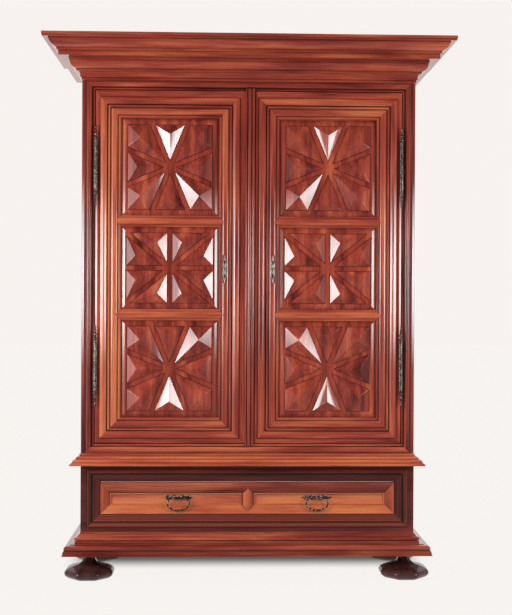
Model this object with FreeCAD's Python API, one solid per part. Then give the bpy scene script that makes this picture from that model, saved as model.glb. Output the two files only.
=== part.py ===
import FreeCAD, Part
import math
import os

# Two-door cupboard with star panels, one long drawer and octagonal bun feet.
# Millimetres, +Z up, -Y to the front. The origin is the middle of the footprint, on the floor.

# Overall sizes
case_width = 1610
case_depth = 575
foot_height = 130
plinth_height = 102
base_height = 321
waist_height = 57
carcase_height = 1798
cornice_height = 192
cornice_projection = 170
waist_projection = 49
plinth_projection = 80

# Bun feet
foot_radius = 118
foot_inset_x = 38
peg_radius = 14
peg_length = 40
peg_clearance = 0.3
corner_block_width = 93
foot_sides = 8

# Sticks that wrap round the case
plinth_backing = 12
waist_backing = 22
cornice_backing = 22

# Base
base_frame_thickness = 30
base_board = 22
base_back_board = 16
base_floor_board = 32
base_top_board = 24
base_stile_width = 92
drawer_opening_share = 0.4984
drawer_lift_share = 0.2617
drawer_surround_width = 62
drawer_surround_rise = 15

# Drawer
drawer_gap = 4
drawer_front_thickness = 22
drawer_border_lip = 3
drawer_border_rise = 10
drawer_border_inner = 4
sunk_side_border = 46
sunk_top_share = 0.3313
sunk_bottom_share = 0.2688
sunk_middle = 57
sunk_floor_drop = 3
sunk_bead = 5
lozenge_width = 45
lozenge_share = 0.6625
lozenge_rise = 6
lozenge_bevel = 5
drawer_side = 14
drawer_side_share = 0.8376
drawer_back_gap = 32
drawer_back_drop = 12
drawer_bottom_board = 8
drawer_bottom_lift = 12
drawer_groove = 6
runner_thickness = 20
runner_width = 112
runner_guide_width = 20
runner_guide_height = 18
slide_gap = 0.3
guide_gap = 2

# Bail pulls
pull_inset = 11.75
pull_lift_share = 0.125
pull_plate_length = 150
pull_plate_share = 0.4286
pull_plate_thickness = 3
post_spread = 17
post_radius = 5
post_head = 7.5
bail_stand = 22
bail_rod = 4
bail_pin = 3
bail_pin_clearance = 0.05
bail_end_radius = 26
bail_turn = 60
bail_tail = 16

# Carcase
post_width = 62.5
post_depth = 60
rear_post_depth = 45
rail_thickness = 30
side_rail_thickness = 24
side_top_rail = 110
side_middle_rail = 100
side_bottom_rail = 110
side_panel_board = 10
side_panel_rise = 6
side_panel_bevel = 45
back_board = 12
back_board_inset = 10
back_board_count = 7
groove_depth = 9
inner_board = 22
shelf_setback = 80
shelf_count = 3
cleat_width = 24
cleat_height = 32
surround_width = 46
surround_rise = 16

# Cornice frame
cornice_board = 18

# Doors
door_gap = 4
meeting_gap = 4
meeting_offset = 29
strip_place = 16
door_thickness = 34
band_hinge = 19.5
band_meeting = 27
band_top = 30
band_bottom = 22
band_rise = 6
ring_width = 105
ring_rise = 20
bar_height = 54
square_panel_share = 0.3509
star_border = 30
star_border_middle = 25
panel_bevel = 13
panel_bevel_drop = 5.5
panel_plateau = 2
panel_back = 24
tongue_thickness = 8
tongue_back = 20
tongue_length = 8
star_strip = 26
star_step = 3
star_pitch = 0.5
tenon_length = 40
tenon_thickness = 8
tenon_shoulder = 14
fuse_depth = 2

# Centre strip
strip_rise = 17
strip_lap = 12

# Fiche hinges
pin_stand = 24
pin_inset = 70
barrel_radius = 9
hinge_pin_radius = 5
pin_clearance = 0.05
knuckle_height = 116
knuckle_gap = 0.3
finial_height = 80
leaf_thickness = 3
leaf_depth = 50
leaf_margin = 10
hinge_shares = (0.2356, 0.7695)

# Escutcheons, lock and bolts
escutcheon_width = 22
escutcheon_height = 136
escutcheon_thickness = 3
escutcheon_place = 73
escutcheon_share = 0.495
escutcheon_seat = 7
keyhole_width = 6
keyhole_height = 22
lock_width = 120
lock_height = 90
lock_depth = 22
lock_edge = 3
bolt_section = 16
bolt_thickness = 10
bolt_length = 90
bolt_clearance = 0.5
bolt_nose = 2
keeper_length = 16
keeper_wall = 5
keeper_edge = 7
rod_radius = 5
rod_length = 190
rod_place = 84
rod_stand = 13
rod_tip = 8
rod_clearance = 0.5
rod_knob = 9
rod_guide_shares = (0.2, 0.6)
guide_height = 14
guide_wall = 6

# Levels and planes worked out from the sizes
half_case = case_width / 2
drawer_opening_width = case_width - 2 * base_stile_width
drawer_opening_height = base_height * drawer_opening_share
drawer_opening_lift = base_height * drawer_lift_share
sunk_top_border = drawer_opening_height * sunk_top_share
sunk_bottom_border = drawer_opening_height * sunk_bottom_share
lozenge_height = drawer_opening_height * lozenge_share
drawer_side_height = drawer_opening_height * drawer_side_share
sunk_height = drawer_opening_height - 2 * drawer_gap - sunk_top_border - sunk_bottom_border
pull_plate_height = sunk_height * pull_plate_share
total_depth = case_depth + cornice_projection
front_y = -total_depth / 2 + cornice_projection
back_y = total_depth / 2
plinth_z = foot_height
base_z = plinth_z + plinth_height
floor_under_z = base_z - base_floor_board
waist_z = base_z + base_height
carcase_z = waist_z + waist_height
cornice_z = carcase_z + carcase_height
top_z = cornice_z + cornice_height


def front(stand):
    """Depth coordinate of a plane that stands this far in front of the case front."""
    return front_y - stand


def point(x, y, z):
    return FreeCAD.Vector(x, y, z)


def box(x0, x1, y0, y1, z0, z1):
    """Box between two corners, whichever way round they are given."""
    size = (abs(x1 - x0), abs(y1 - y0), abs(z1 - z0))
    return Part.makeBox(*size, point(min(x0, x1), min(y0, y1), min(z0, z1)))


def prism(corners, run):
    """Straight prism on a flat outline of corners."""
    wire = Part.makePolygon(corners + [corners[0]])
    return Part.Face(wire).extrude(run)


def profile_face(shares, size_u, size_h, at):
    """Face inside a moulding's outline. Two shares are a corner, four are the middle and end of an arc."""
    def place(u_share, h_share):
        return at(u_share * size_u, h_share * size_h)

    edges = []
    last = place(*shares[0])
    first = last
    for step in shares[1:]:
        end = place(*step[-2:])
        if len(step) == 4:
            edges.append(Part.Arc(last, place(*step[:2]), end).toShape())
        else:
            edges.append(Part.LineSegment(last, end).toShape())
        last = end
    edges.append(Part.LineSegment(last, first).toShape())
    return Part.Face(Part.Wire(edges))


def turned(shares, radius, height, x, y, z):
    """Turned piece about a vertical axis from an outline of radius and height shares."""
    face = profile_face(shares, radius, height, lambda r, h: point(x + r, y, z + h))
    return face.revolve(point(x, y, z), point(0, 0, 1), 360)


def hanging(shares):
    """The same outline turned to hang down: every second share is a height."""
    return [tuple(-value if index % 2 else value for index, value in enumerate(step))
            for step in shares]


def mirrored(shape):
    """The same piece on the other side of the middle plane."""
    return shape.mirror(point(0, 0, 0), point(1, 0, 0))


def frame_sticks(shares, width, rise, x0, x1, z0, z1, stand):
    """Four mitred sticks of one moulding round a rectangle on the front. The shares run inwards from its
    outer edge. Order: top, bottom, left, right."""
    deep = rise + width
    runs = [
        (lambda u, h: point(x0, front(stand + h), z1 - u), point(x1 - x0, 0, 0),
         [(x0, z1), (x1, z1), (x1 - width, z1 - width), (x0 + width, z1 - width)]),
        (lambda u, h: point(x0, front(stand + h), z0 + u), point(x1 - x0, 0, 0),
         [(x0, z0), (x1, z0), (x1 - width, z0 + width), (x0 + width, z0 + width)]),
        (lambda u, h: point(x0 + u, front(stand + h), z0), point(0, 0, z1 - z0),
         [(x0, z0), (x0, z1), (x0 + width, z1 - width), (x0 + width, z0 + width)]),
        (lambda u, h: point(x1 - u, front(stand + h), z0), point(0, 0, z1 - z0),
         [(x1, z0), (x1, z1), (x1 - width, z1 - width), (x1 - width, z0 + width)]),
    ]
    sticks = []
    for at, run, plan in runs:
        stick = profile_face(shares, width, rise, at).extrude(run)
        corners = [point(x, front(stand + deep), z) for x, z in plan]
        sticks.append(stick.common(prism(corners, point(0, deep + deep, 0))))
    return sticks


def wrap_sticks(shares, projection, height, z, backing):
    """Front, left and right stick of a moulding that wraps round the case, mitred at the front corners.
    The shares are of the projection and the height; the back stands inside the case by the backing."""
    reach = half_case + projection
    inner = half_case - backing
    outline = [(-backing / projection, 0)] + shares + [(-backing / projection, 1)]
    ahead = profile_face(outline, projection, height, lambda p, h: point(-reach, front(p), z + h))
    ahead = ahead.extrude(point(reach + reach, 0, 0))
    plan = [(-reach, front(projection)), (reach, front(projection)), (inner, front(-backing)),
            (-inner, front(-backing))]
    ahead = ahead.common(prism([point(x, y, z) for x, y in plan], point(0, 0, height)))
    side = profile_face(outline, projection, height,
                        lambda p, h: point(half_case + p, front(projection), z + h))
    side = side.extrude(point(0, back_y - front(projection), 0))
    plan = [(inner, front(-backing)), (reach, front(projection)), (reach, back_y), (inner, back_y)]
    side = side.common(prism([point(x, y, z) for x, y in plan], point(0, 0, height)))
    return [ahead, mirrored(side), side]


# Outlines of the mouldings, in shares of each one's width and rise
# Cornice: projection and height, from the case upwards to the top edge
cornice_shares = [
    (0.015, 0), (0.015, 0.065), (0.05, 0.065), (0.05, 0.115), (0.065, 0.165, 0.12, 0.20), (0.15, 0.20),
    (0.15, 0.255), (0.18, 0.255), (0.275, 0.325, 0.315, 0.455), (0.335, 0.455), (0.335, 0.505),
    (0.59, 0.505), (0.59, 0.625), (0.64, 0.625), (0.64, 0.68), (0.77, 0.765, 0.84, 0.87), (0.84, 0.885),
    (0.985, 0.885), (0.985, 0.925), (1, 0.925), (1, 1),
]
# Waist: projection and height, upwards
waist_shares = [
    (0.50, 0), (0.50, 0.05), (1, 0.05), (1, 0.13), (0.93, 0.22, 0.80, 0.28), (0.76, 0.28), (0.76, 0.33),
    (0.70, 0.47, 0.46, 0.55), (0.42, 0.55), (0.42, 0.60), (0.36, 0.72, 0.14, 0.80), (0.10, 0.80),
    (0.10, 0.95), (0.05, 1),
]
# Plinth: projection and height, upwards
plinth_shares = [
    (1, 0), (0.97, 0.06), (0.93, 0.21), (0.89, 0.23), (0.87, 0.27), (0.86, 0.40, 0.75, 0.455),
    (0.54, 0.465), (0.54, 0.49), (0.32, 0.50), (0.30, 0.52), (0.30, 0.62), (0.32, 0.64), (0.32, 0.76),
    (0.27, 0.78), (0.17, 0.81, 0.10, 0.885), (0.02, 0.94), (0.02, 1),
]
# Ring of the doors: from its outer edge to the panel
ring_shares = [
    (0, 0), (0, 0.14), (0.03, 0.14), (0.03, 0.50), (0.07, 0.90, 0.17, 1), (0.30, 0.86, 0.35, 0.42),
    (0.35, 0.26), (0.395, 0.26), (0.395, 0.52), (0.475, 0.52), (0.475, 0.34), (0.545, 0.34),
    (0.555, 0.50), (0.60, 0.60, 0.66, 0.62), (0.78, 0.54, 0.83, 0.32), (0.83, 0.22), (0.87, 0.22),
    (0.87, 0.30), (0.955, 0.30), (0.955, 0.10), (1, 0.10), (1, 0),
]
# Half of a ridge bar: from its panel edge up to the crest line
bar_shares = [
    (0, 0), (0, 0.12), (0.06, 0.12), (0.20, 0.16), (0.30, 0.24), (0.30, 0.30), (0.43, 0.30), (0.43, 0.36),
    (0.58, 0.50, 0.86, 0.55), (1, 0.55),
]
# Surround of the doors: from its outer edge to the opening
surround_shares = [
    (0, 0), (0, 0.10), (0.10, 0.10), (0.10, 0.45), (0.21, 0.45), (0.21, 0.60), (0.28, 0.95, 0.46, 1),
    (0.66, 0.92, 0.73, 0.45), (0.73, 0.10), (0.84, 0.10), (0.84, 0.28), (1, 0.28), (1, 0),
]
# Surround of the drawer: from its outer edge to the opening
drawer_surround_shares = [
    (0, 0), (0, 0.25), (0.05, 0.25), (0.05, 0.60), (0.10, 0.92, 0.20, 1), (0.32, 0.92, 0.37, 0.60),
    (0.37, 0.35), (0.50, 0.35), (0.50, 0.75), (0.60, 0.75), (0.62, 0.55), (0.70, 0.28, 0.84, 0.22),
    (0.84, 0.12), (1, 0.12), (1, 0),
]
# Centre strip: from the left edge to the joint
strip_shares = [
    (0, 0), (0, 0.62), (0.08, 0.74, 0.16, 0.66), (0.16, 0.46), (0.21, 0.46), (0.22, 0.76),
    (0.42, 1.08, 0.62, 0.76), (0.63, 0.46), (0.68, 0.46), (0.69, 0.68), (0.82, 0.80, 0.95, 0.68),
    (1, 0.50), (1, 0),
]
# Bun foot: radius across the flats and height
foot_shares = [
    (0.60, 0), (0.84, 0.05), (0.97, 0.15), (1, 0.25), (0.93, 0.36), (0.74, 0.45), (0.45, 0.52),
    (0.31, 0.60), (0.235, 0.72), (0.22, 0.86), (0.225, 1),
]
# Hinge finial: radius and height, upwards from the knuckle
finial_shares = [
    (0, 0), (1, 0), (1, 0.04), (0.60, 0.07), (0.60, 0.11), (1.08, 0.18, 0.60, 0.26), (0.50, 0.30),
    (0.50, 0.34), (0.95, 0.42, 0.42, 0.54), (0.36, 0.58), (0.70, 0.64, 0.36, 0.71), (0.30, 0.76),
    (0.56, 0.84, 0.20, 0.95), (0, 1),
]
# Half of an escutcheon: half width and height, upwards from the lower tip
escutcheon_shares = [
    (0, 0), (0.30, 0.03), (0.20, 0.09), (0.62, 0.14), (0.40, 0.20), (0.95, 0.27), (1, 0.40), (0.70, 0.50),
    (1, 0.60), (0.95, 0.72), (0.40, 0.79), (0.66, 0.85), (0.22, 0.91), (0.30, 0.96), (0, 1),
]
# Half of a pull plate: half length and half height, from the middle to the tip
pull_plate_shares = [
    (0, 0.62), (0.14, 0.62), (0.20, 1), (0.36, 1), (0.44, 0.55), (0.56, 0.62), (0.70, 0.90), (0.82, 0.40),
    (1, 0),
]


def octagon(radius, x, y, z):
    """Eight-sided outline with flats to the front and sides, of this radius across the flats."""
    corner = radius / math.cos(math.pi / foot_sides)
    turns = [math.pi * (2 * index + 1) / foot_sides for index in range(foot_sides)]
    corners = [point(x + corner * math.cos(turn), y + corner * math.sin(turn), z) for turn in turns]
    return Part.makePolygon(corners + [corners[0]])


def bun_foot(x, y):
    """Octagonal bun foot with the round peg that its corner block takes."""
    rings = [octagon(r_share * foot_radius, x, y, h_share * foot_height)
             for r_share, h_share in foot_shares]
    bun = Part.makeLoft(rings, True, True)
    peg = Part.makeCylinder(peg_radius, peg_length, point(x, y, foot_height))
    return bun.fuse(peg)


def feet_and_blocks():
    """The four feet and the blocks above them."""
    foot_x = half_case - foot_inset_x
    half_block = corner_block_width / 2
    front_foot_y = front(-plinth_backing) + half_block
    rear_foot_y = back_y - foot_radius
    places = {
        "foot_front_left": (-foot_x, front_foot_y),
        "foot_front_right": (foot_x, front_foot_y),
        "foot_rear_left": (-foot_x, rear_foot_y),
        "foot_rear_right": (foot_x, rear_foot_y),
    }
    outer = half_case - plinth_backing
    blocks = []
    for name, (x, y) in places.items():
        nodes[name] = [bun_foot(x, y)]
        block_x = outer - corner_block_width if x > 0 else -outer
        block = box(block_x, block_x + corner_block_width, y - half_block, y + half_block,
                    plinth_z, floor_under_z)
        hole = Part.makeCylinder(peg_radius + peg_clearance, peg_length + peg_clearance,
                                 point(x, y, plinth_z))
        blocks.append(block.cut(hole))
    nodes["corner_blocks"] = blocks


def base():
    """Plinth, floor, sides, back, front frame, surround, runners, top and waist of the base."""
    nodes["plinth_moulding"] = wrap_sticks(plinth_shares, plinth_projection, plinth_height, plinth_z,
                                           plinth_backing)
    floor_x = half_case - plinth_backing
    nodes["base_floor"] = [box(-floor_x, floor_x, front(-plinth_backing), back_y, floor_under_z, base_z)]
    inside_y = front(-base_frame_thickness)
    side_x = half_case - base_board
    side = box(side_x, half_case, inside_y, back_y, base_z, waist_z)
    nodes["base_sides"] = [mirrored(side), side]
    nodes["base_back"] = [
        box(-side_x, side_x, back_y - base_back_board, back_y, base_z, waist_z),
        box(-floor_x, floor_x, back_y - base_back_board, back_y, plinth_z, floor_under_z),
    ]

    opening_x = drawer_opening_width / 2
    opening_z0 = base_z + drawer_opening_lift
    opening_z1 = opening_z0 + drawer_opening_height
    stile = box(opening_x, half_case, inside_y, front(0), base_z, waist_z)
    bottom = box(-opening_x, opening_x, inside_y, front(0), base_z, opening_z0)
    top = box(-opening_x, opening_x, inside_y, front(0), opening_z1, waist_z)
    stiles = [mirrored(stile), stile]
    rails = []
    for rail, z0, z1 in ((bottom, base_z, opening_z0), (top, opening_z1, waist_z)):
        low = z0 + tenon_shoulder
        high = z1 - tenon_shoulder
        back = front(-(base_frame_thickness + tenon_thickness) / 2)
        near = front(-(base_frame_thickness - tenon_thickness) / 2)
        tenon = box(-opening_x - tenon_length, opening_x + tenon_length, back, near, low, high)
        rails.append(rail.fuse(tenon).removeSplitter())
        stiles = [part.cut(tenon) for part in stiles]
    nodes["base_front_frame"] = stiles + rails

    reach = drawer_surround_width
    nodes["drawer_surround"] = frame_sticks(drawer_surround_shares, reach, drawer_surround_rise,
                                            -opening_x - reach, opening_x + reach,
                                            opening_z0 - reach, opening_z1 + reach, 0)

    runner_z = opening_z0 + drawer_gap
    guide_x = opening_x - drawer_gap - drawer_side + guide_gap + slide_gap
    low = runner_z - runner_thickness
    corners = [(side_x, low), (side_x - runner_width, low), (side_x - runner_width, runner_z),
               (guide_x, runner_z), (guide_x, runner_z + runner_guide_height),
               (guide_x + runner_guide_width, runner_z + runner_guide_height),
               (guide_x + runner_guide_width, runner_z), (side_x, runner_z)]
    runner = prism([point(x, inside_y, z) for x, z in corners],
                   point(0, back_y - base_back_board - inside_y, 0))
    nodes["drawer_runners"] = [mirrored(runner), runner]

    nodes["waist_moulding"] = wrap_sticks(waist_shares, waist_projection, waist_height, waist_z,
                                          waist_backing)
    top_x = half_case - waist_backing
    nodes["base_top"] = [box(-top_x, top_x, front(-waist_backing), back_y,
                             carcase_z - base_top_board, carcase_z)]


def drawer_front_block(x0, x1, z0, z1):
    """Drawer front: a border that falls inwards to two sunk panels with a bead at their edge."""
    board = box(x0, x1, front(-drawer_front_thickness), front(drawer_border_rise), z0, z1)
    lip = drawer_border_lip
    rim = [(x0 + lip, z0 + lip), (x1 - lip, z0 + lip), (x1 - lip, z1 - lip), (x0 + lip, z1 - lip)]
    sunk_z0 = z0 + sunk_bottom_border
    sunk_z1 = z1 - sunk_top_border
    inner_x0 = x0 + sunk_side_border
    inner_x1 = x1 - sunk_side_border
    foot = [(inner_x0, sunk_z0), (inner_x1, sunk_z0), (inner_x1, sunk_z1), (inner_x0, sunk_z1)]
    low = Part.makePolygon([point(x, front(drawer_border_inner), z) for x, z in foot + foot[:1]])
    high = Part.makePolygon([point(x, front(drawer_border_rise), z) for x, z in rim + rim[:1]])
    board = board.cut(Part.makeLoft([low, high], True, True))
    half_middle = sunk_middle / 2
    for a, b in ((inner_x0, -half_middle), (half_middle, inner_x1)):
        board = board.cut(box(a, b, front(drawer_border_inner - sunk_floor_drop),
                              front(drawer_border_inner), sunk_z0, sunk_z1))
        board = board.cut(box(a + sunk_bead, b - sunk_bead, front(-sunk_floor_drop),
                              front(drawer_border_inner), sunk_z0 + sunk_bead, sunk_z1 - sunk_bead))
    return board


def lozenge_outline(inset, stand, z):
    """Tall six-sided outline with points above and below, drawn in by an inset."""
    half_w = lozenge_width / 2 - inset
    half_h = lozenge_height / 2 - inset
    corners = [(0, -half_h), (half_w, half_w - half_h), (half_w, half_h - half_w), (0, half_h),
               (-half_w, half_h - half_w), (-half_w, half_w - half_h)]
    return Part.makePolygon([point(x, front(stand), z + h) for x, h in corners + corners[:1]])


def drawer():
    """The drawer: front, lozenge, box, bottom and the two pulls."""
    x1 = drawer_opening_width / 2 - drawer_gap
    z0 = base_z + drawer_opening_lift + drawer_gap
    z1 = z0 + drawer_opening_height - drawer_gap - drawer_gap
    nodes["drawer_front"] = [drawer_front_block(-x1, x1, z0, z1)]

    middle_z = (z0 + z1) / 2 - (sunk_top_border - sunk_bottom_border) / 2
    foot_line = lozenge_outline(0, drawer_border_inner, middle_z)
    rim_line = lozenge_outline(0, drawer_border_rise, middle_z)
    crest_line = lozenge_outline(lozenge_bevel, drawer_border_rise + lozenge_rise, middle_z)
    lozenge = Part.makeLoft([foot_line, rim_line], True, True)
    lozenge = lozenge.fuse(Part.makeLoft([rim_line, crest_line], True, True))
    nodes["drawer_front"] = [nodes["drawer_front"][0].cut(lozenge)]
    nodes["drawer_lozenge"] = [lozenge]

    side_x = x1 - slide_gap - drawer_side
    side_z0 = z0 + slide_gap
    side_z1 = side_z0 + drawer_side_height
    box_front = front(-drawer_front_thickness)
    box_back = back_y - base_back_board - drawer_back_gap
    side = box(side_x - drawer_side, side_x, box_front, box_back, side_z0, side_z1)
    bottom_z = side_z0 + drawer_bottom_lift
    bottom_x = side_x - drawer_side + drawer_groove
    bottom = box(-bottom_x, bottom_x, box_front, box_back - drawer_side, bottom_z,
                 bottom_z + drawer_bottom_board)
    sides = [mirrored(side).cut(bottom), side.cut(bottom)]
    back_x = side_x - drawer_side
    back = box(-back_x, back_x, box_back - drawer_side, box_back, side_z0, side_z1 - drawer_back_drop)
    nodes["drawer_box"] = sides + [back]
    nodes["drawer_bottom"] = [bottom]

    plates = []
    pull_x = (sunk_middle / 2 + x1 - sunk_side_border) / 2 - pull_inset
    pull_z = middle_z + sunk_height * pull_lift_share
    for side_name, x in (("left_bail", -pull_x), ("right_bail", pull_x)):
        plates.append(pull_plate(x, pull_z))
        nodes[side_name] = [bail(x, pull_z)]
    nodes["pull_plates"] = plates


def pull_plate(x, z):
    """Iron back plate with two posts whose round heads carry the bail's pins."""
    half_l = pull_plate_length / 2
    half_h = pull_plate_height / 2
    upper = [(u * half_l, h * half_h) for u, h in pull_plate_shares]
    left = [(-u, h) for u, h in reversed(upper[1:])]
    lower = [(u, -h) for u, h in reversed(left + upper)]
    tips = (half_l, -half_l)
    outline = left + upper + [(u, h) for u, h in lower if u not in tips]
    seat = front(-sunk_floor_drop)
    plate = prism([point(x + u, seat, z + h) for u, h in outline], point(0, -pull_plate_thickness, 0))
    stand = bail_stand + sunk_floor_drop
    for side in (-post_spread, post_spread):
        post = Part.makeCylinder(post_radius, stand, point(x + side, seat, z), point(0, -1, 0))
        head = Part.makeSphere(post_head, point(x + side, front(bail_stand), z))
        plate = plate.fuse([post, head])
    eye = Part.makeCylinder(bail_pin + bail_pin_clearance, post_spread + post_spread + post_head * 4,
                            point(x - post_spread - post_head * 2, front(bail_stand), z), point(1, 0, 0))
    return plate.cut(eye)


def bail(x, z):
    """Oval bail: two small end arcs joined by one wide arc below, with pins that point inwards."""
    y = front(bail_stand)
    turn = math.radians(bail_turn)
    centre_z = z - bail_end_radius
    wide = bail_end_radius + bail_end_radius / math.cos(turn)
    wide_z = centre_z + bail_end_radius * math.tan(turn)
    start = point(x + bail_end_radius, y, z)
    side_mid = point(x + bail_end_radius + bail_end_radius * math.cos(math.radians(bail_turn / 4)), y,
                     centre_z + bail_end_radius * math.sin(math.radians(bail_turn / 4)))
    joint_x = bail_end_radius + bail_end_radius * math.cos(turn)
    joint_z = centre_z - bail_end_radius * math.sin(turn)
    joint = point(x + joint_x, y, joint_z)
    other = point(x - joint_x, y, joint_z)
    bottom = point(x, y, wide_z - wide)
    other_mid = point(2 * x - side_mid.x, y, side_mid.z)
    finish = point(x - bail_end_radius, y, z)
    path = Part.Wire([Part.Arc(start, side_mid, joint).toShape(), Part.Arc(joint, bottom, other).toShape(),
                      Part.Arc(other, other_mid, finish).toShape()])
    ring = Part.Wire(Part.makeCircle(bail_rod, start, point(1, 0, 0)))
    rod = path.makePipeShell([ring], True, False)
    rod = rod.fuse([
        Part.makeCylinder(bail_pin, bail_tail, start, point(-1, 0, 0)),
        Part.makeCylinder(bail_pin, bail_tail, finish, point(1, 0, 0)),
    ])
    return rod


def tenoned(rail, tenon, stiles):
    """A rail with its tenons, and the stiles with their mortises."""
    return rail.fuse(tenon).removeSplitter(), [stile.cut(tenon) for stile in stiles]


def carcase():
    """Posts, rails, side panels, back boards, floor, ceiling, shelves and the doors' surround."""
    inner_x = half_case - post_width
    rail_x = half_case - side_rail_thickness
    post_back = front(-post_depth)
    rear_front = back_y - rear_post_depth
    floor_z1 = carcase_z + surround_width
    ceiling_z0 = cornice_z - surround_width

    front_posts = [box(-half_case, -inner_x, front(0), post_back, carcase_z, cornice_z),
                   box(inner_x, half_case, front(0), post_back, carcase_z, cornice_z)]
    rear_posts = [box(-half_case, -inner_x, rear_front, back_y, carcase_z, cornice_z),
                  box(inner_x, half_case, rear_front, back_y, carcase_z, cornice_z)]

    # Rails of the front and the back
    rails = []
    for z0, z1 in ((carcase_z, floor_z1), (ceiling_z0, cornice_z)):
        low = z0 + tenon_shoulder
        high = z1 - tenon_shoulder
        reach = inner_x + tenon_length
        tenon = box(-reach, reach, front(-(rail_thickness - tenon_thickness) / 2),
                    front(-(rail_thickness + tenon_thickness) / 2), low, high)
        rail = box(-inner_x, inner_x, front(0), front(-rail_thickness), z0, z1)
        rail, front_posts = tenoned(rail, tenon, front_posts)
        rails.append(rail)
        inset = back_y - back_board_inset
        rail = box(-inner_x, inner_x, inset - back_board - rail_thickness, inset - back_board, z0, z1)
        rails.append(rail)
    nodes["carcase_rails"] = rails

    # Back boards in grooves of the rear posts
    boards_y0 = back_y - back_board_inset - back_board
    boards_x = inner_x + groove_depth
    space = box(-boards_x, boards_x, boards_y0, boards_y0 + back_board, carcase_z, cornice_z)
    rear_posts = [post.cut(space) for post in rear_posts]
    board_width = 2 * boards_x / back_board_count
    nodes["back_boards"] = [box(-boards_x + index * board_width, -boards_x + (index + 1) * board_width,
                                boards_y0, boards_y0 + back_board, carcase_z, cornice_z)
                            for index in range(back_board_count)]

    # Sides: three rails and two raised panels in grooves
    levels = [carcase_z + side_bottom_rail, cornice_z - side_top_rail]
    middle = (levels[0] + levels[1]) / 2
    bands = [(carcase_z, levels[0]), (middle - side_middle_rail / 2, middle + side_middle_rail / 2),
             (levels[1], cornice_z)]
    side_rails = [box(rail_x, half_case, post_back, rear_front, z0, z1) for z0, z1 in bands]
    groove_x0 = half_case - (side_rail_thickness + side_panel_board) / 2
    groove_x1 = groove_x0 + side_panel_board
    panels = []
    for z0, z1 in ((bands[0][1], bands[1][0]), (bands[1][1], bands[2][0])):
        tongue = box(groove_x0, groove_x1, post_back - groove_depth, rear_front + groove_depth,
                     z0 - groove_depth, z1 + groove_depth)
        side_rails = [rail.cut(tongue) for rail in side_rails]
        front_posts = [front_posts[0].cut(mirrored(tongue)), front_posts[1].cut(tongue)]
        rear_posts = [rear_posts[0].cut(mirrored(tongue)), rear_posts[1].cut(tongue)]
        wide = [(post_back, z0), (rear_front, z0), (rear_front, z1), (post_back, z1)]
        inset = side_panel_bevel
        narrow = [(post_back + inset, z0 + inset), (rear_front - inset, z0 + inset),
                  (rear_front - inset, z1 - inset), (post_back + inset, z1 - inset)]
        low = Part.makePolygon([point(groove_x1, y, z) for y, z in wide + wide[:1]])
        high = Part.makePolygon([point(groove_x1 + side_panel_rise, y, z) for y, z in narrow + narrow[:1]])
        panels.append(tongue.fuse(Part.makeLoft([low, high], True, True)).removeSplitter())
    nodes["side_rails"] = [mirrored(rail) for rail in side_rails] + side_rails
    nodes["side_panels"] = [mirrored(panel) for panel in panels] + panels
    nodes["rear_posts"] = rear_posts

    # Floor, ceiling, shelves and cleats
    board_back = boards_y0
    board_front = front(-rail_thickness)
    corners = front_posts + rear_posts + [mirrored(panel) for panel in panels] + panels
    rear_rails = rails[1::2]
    floor = box(-rail_x, rail_x, board_front, board_back, floor_z1 - inner_board, floor_z1)
    ceiling = box(-rail_x, rail_x, board_front, board_back, ceiling_z0, ceiling_z0 + inner_board)
    nodes["cupboard_floor"] = [floor.cut(corners + rear_rails)]
    nodes["cupboard_ceiling"] = [ceiling.cut(corners + rear_rails)]
    clear = (ceiling_z0 - floor_z1 - shelf_count * inner_board) / (shelf_count + 1)
    shelves = []
    cleats = []
    for index in range(shelf_count):
        z0 = floor_z1 + (index + 1) * clear + index * inner_board
        shelf = box(-rail_x, rail_x, front(-shelf_setback), board_back, z0, z0 + inner_board)
        shelves.append(shelf.cut(corners))
        cleat = box(rail_x - cleat_width, rail_x, post_back, rear_front, z0 - cleat_height, z0)
        cleats.extend([mirrored(cleat), cleat])
    nodes["shelves"] = shelves
    nodes["shelf_cleats"] = cleats

    # Moulding round the doors
    reach = inner_x + surround_width
    sticks = frame_sticks(surround_shares, surround_width, surround_rise, -reach, reach,
                          carcase_z, cornice_z, 0)
    slots = case_leaf_slots()
    nodes["door_surround"] = [stick.cut(slots) for stick in sticks]
    nodes["front_post_left"] = [front_posts[0].cut(slots)]
    nodes["front_post_right"] = [front_posts[1].cut(slots)]

    # Cornice
    nodes["cornice_moulding"] = wrap_sticks(cornice_shares, cornice_projection, cornice_height,
                                            cornice_z, cornice_backing)
    frame_x = half_case - cornice_backing
    frame_front = front(-cornice_backing)
    nodes["cornice_frame"] = [
        box(-frame_x, frame_x, frame_front, back_y, top_z - cornice_board, top_z),
        box(-frame_x, frame_x, back_y - cornice_board, back_y, cornice_z, top_z - cornice_board),
    ]


def hinge_levels():
    """Level of the joint between the two knuckles of each hinge, lower and upper."""
    return [carcase_z + carcase_height * share for share in hinge_shares]


def lock_level():
    """Level of the middle of the lock and of the escutcheons."""
    return carcase_z + carcase_height * escutcheon_share


def case_leaf_slots():
    """The slots that the case leaves fill in the posts and the surround."""
    slots = []
    for level in hinge_levels():
        slots.extend([case_leaf(-1, level), case_leaf(1, level)])
    return slots


def case_leaf(side, level):
    """Leaf of the lower knuckle, let into the post at the edge of the door opening."""
    inner = side * (half_case - pin_inset + barrel_radius - leaf_thickness / 2)
    outer = inner + side * leaf_thickness
    return box(outer, inner, front(pin_stand), front(pin_stand - leaf_depth),
               level - knuckle_height + leaf_margin, level - leaf_margin)


def door_leaf(side, level):
    """Leaf of the upper knuckle, let into the door's hinge stile."""
    middle = side * (half_case - pin_inset)
    return box(middle - leaf_thickness / 2, middle + leaf_thickness / 2, front(pin_stand),
               front(pin_stand - leaf_depth), level + leaf_margin, level + knuckle_height - leaf_margin)


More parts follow.
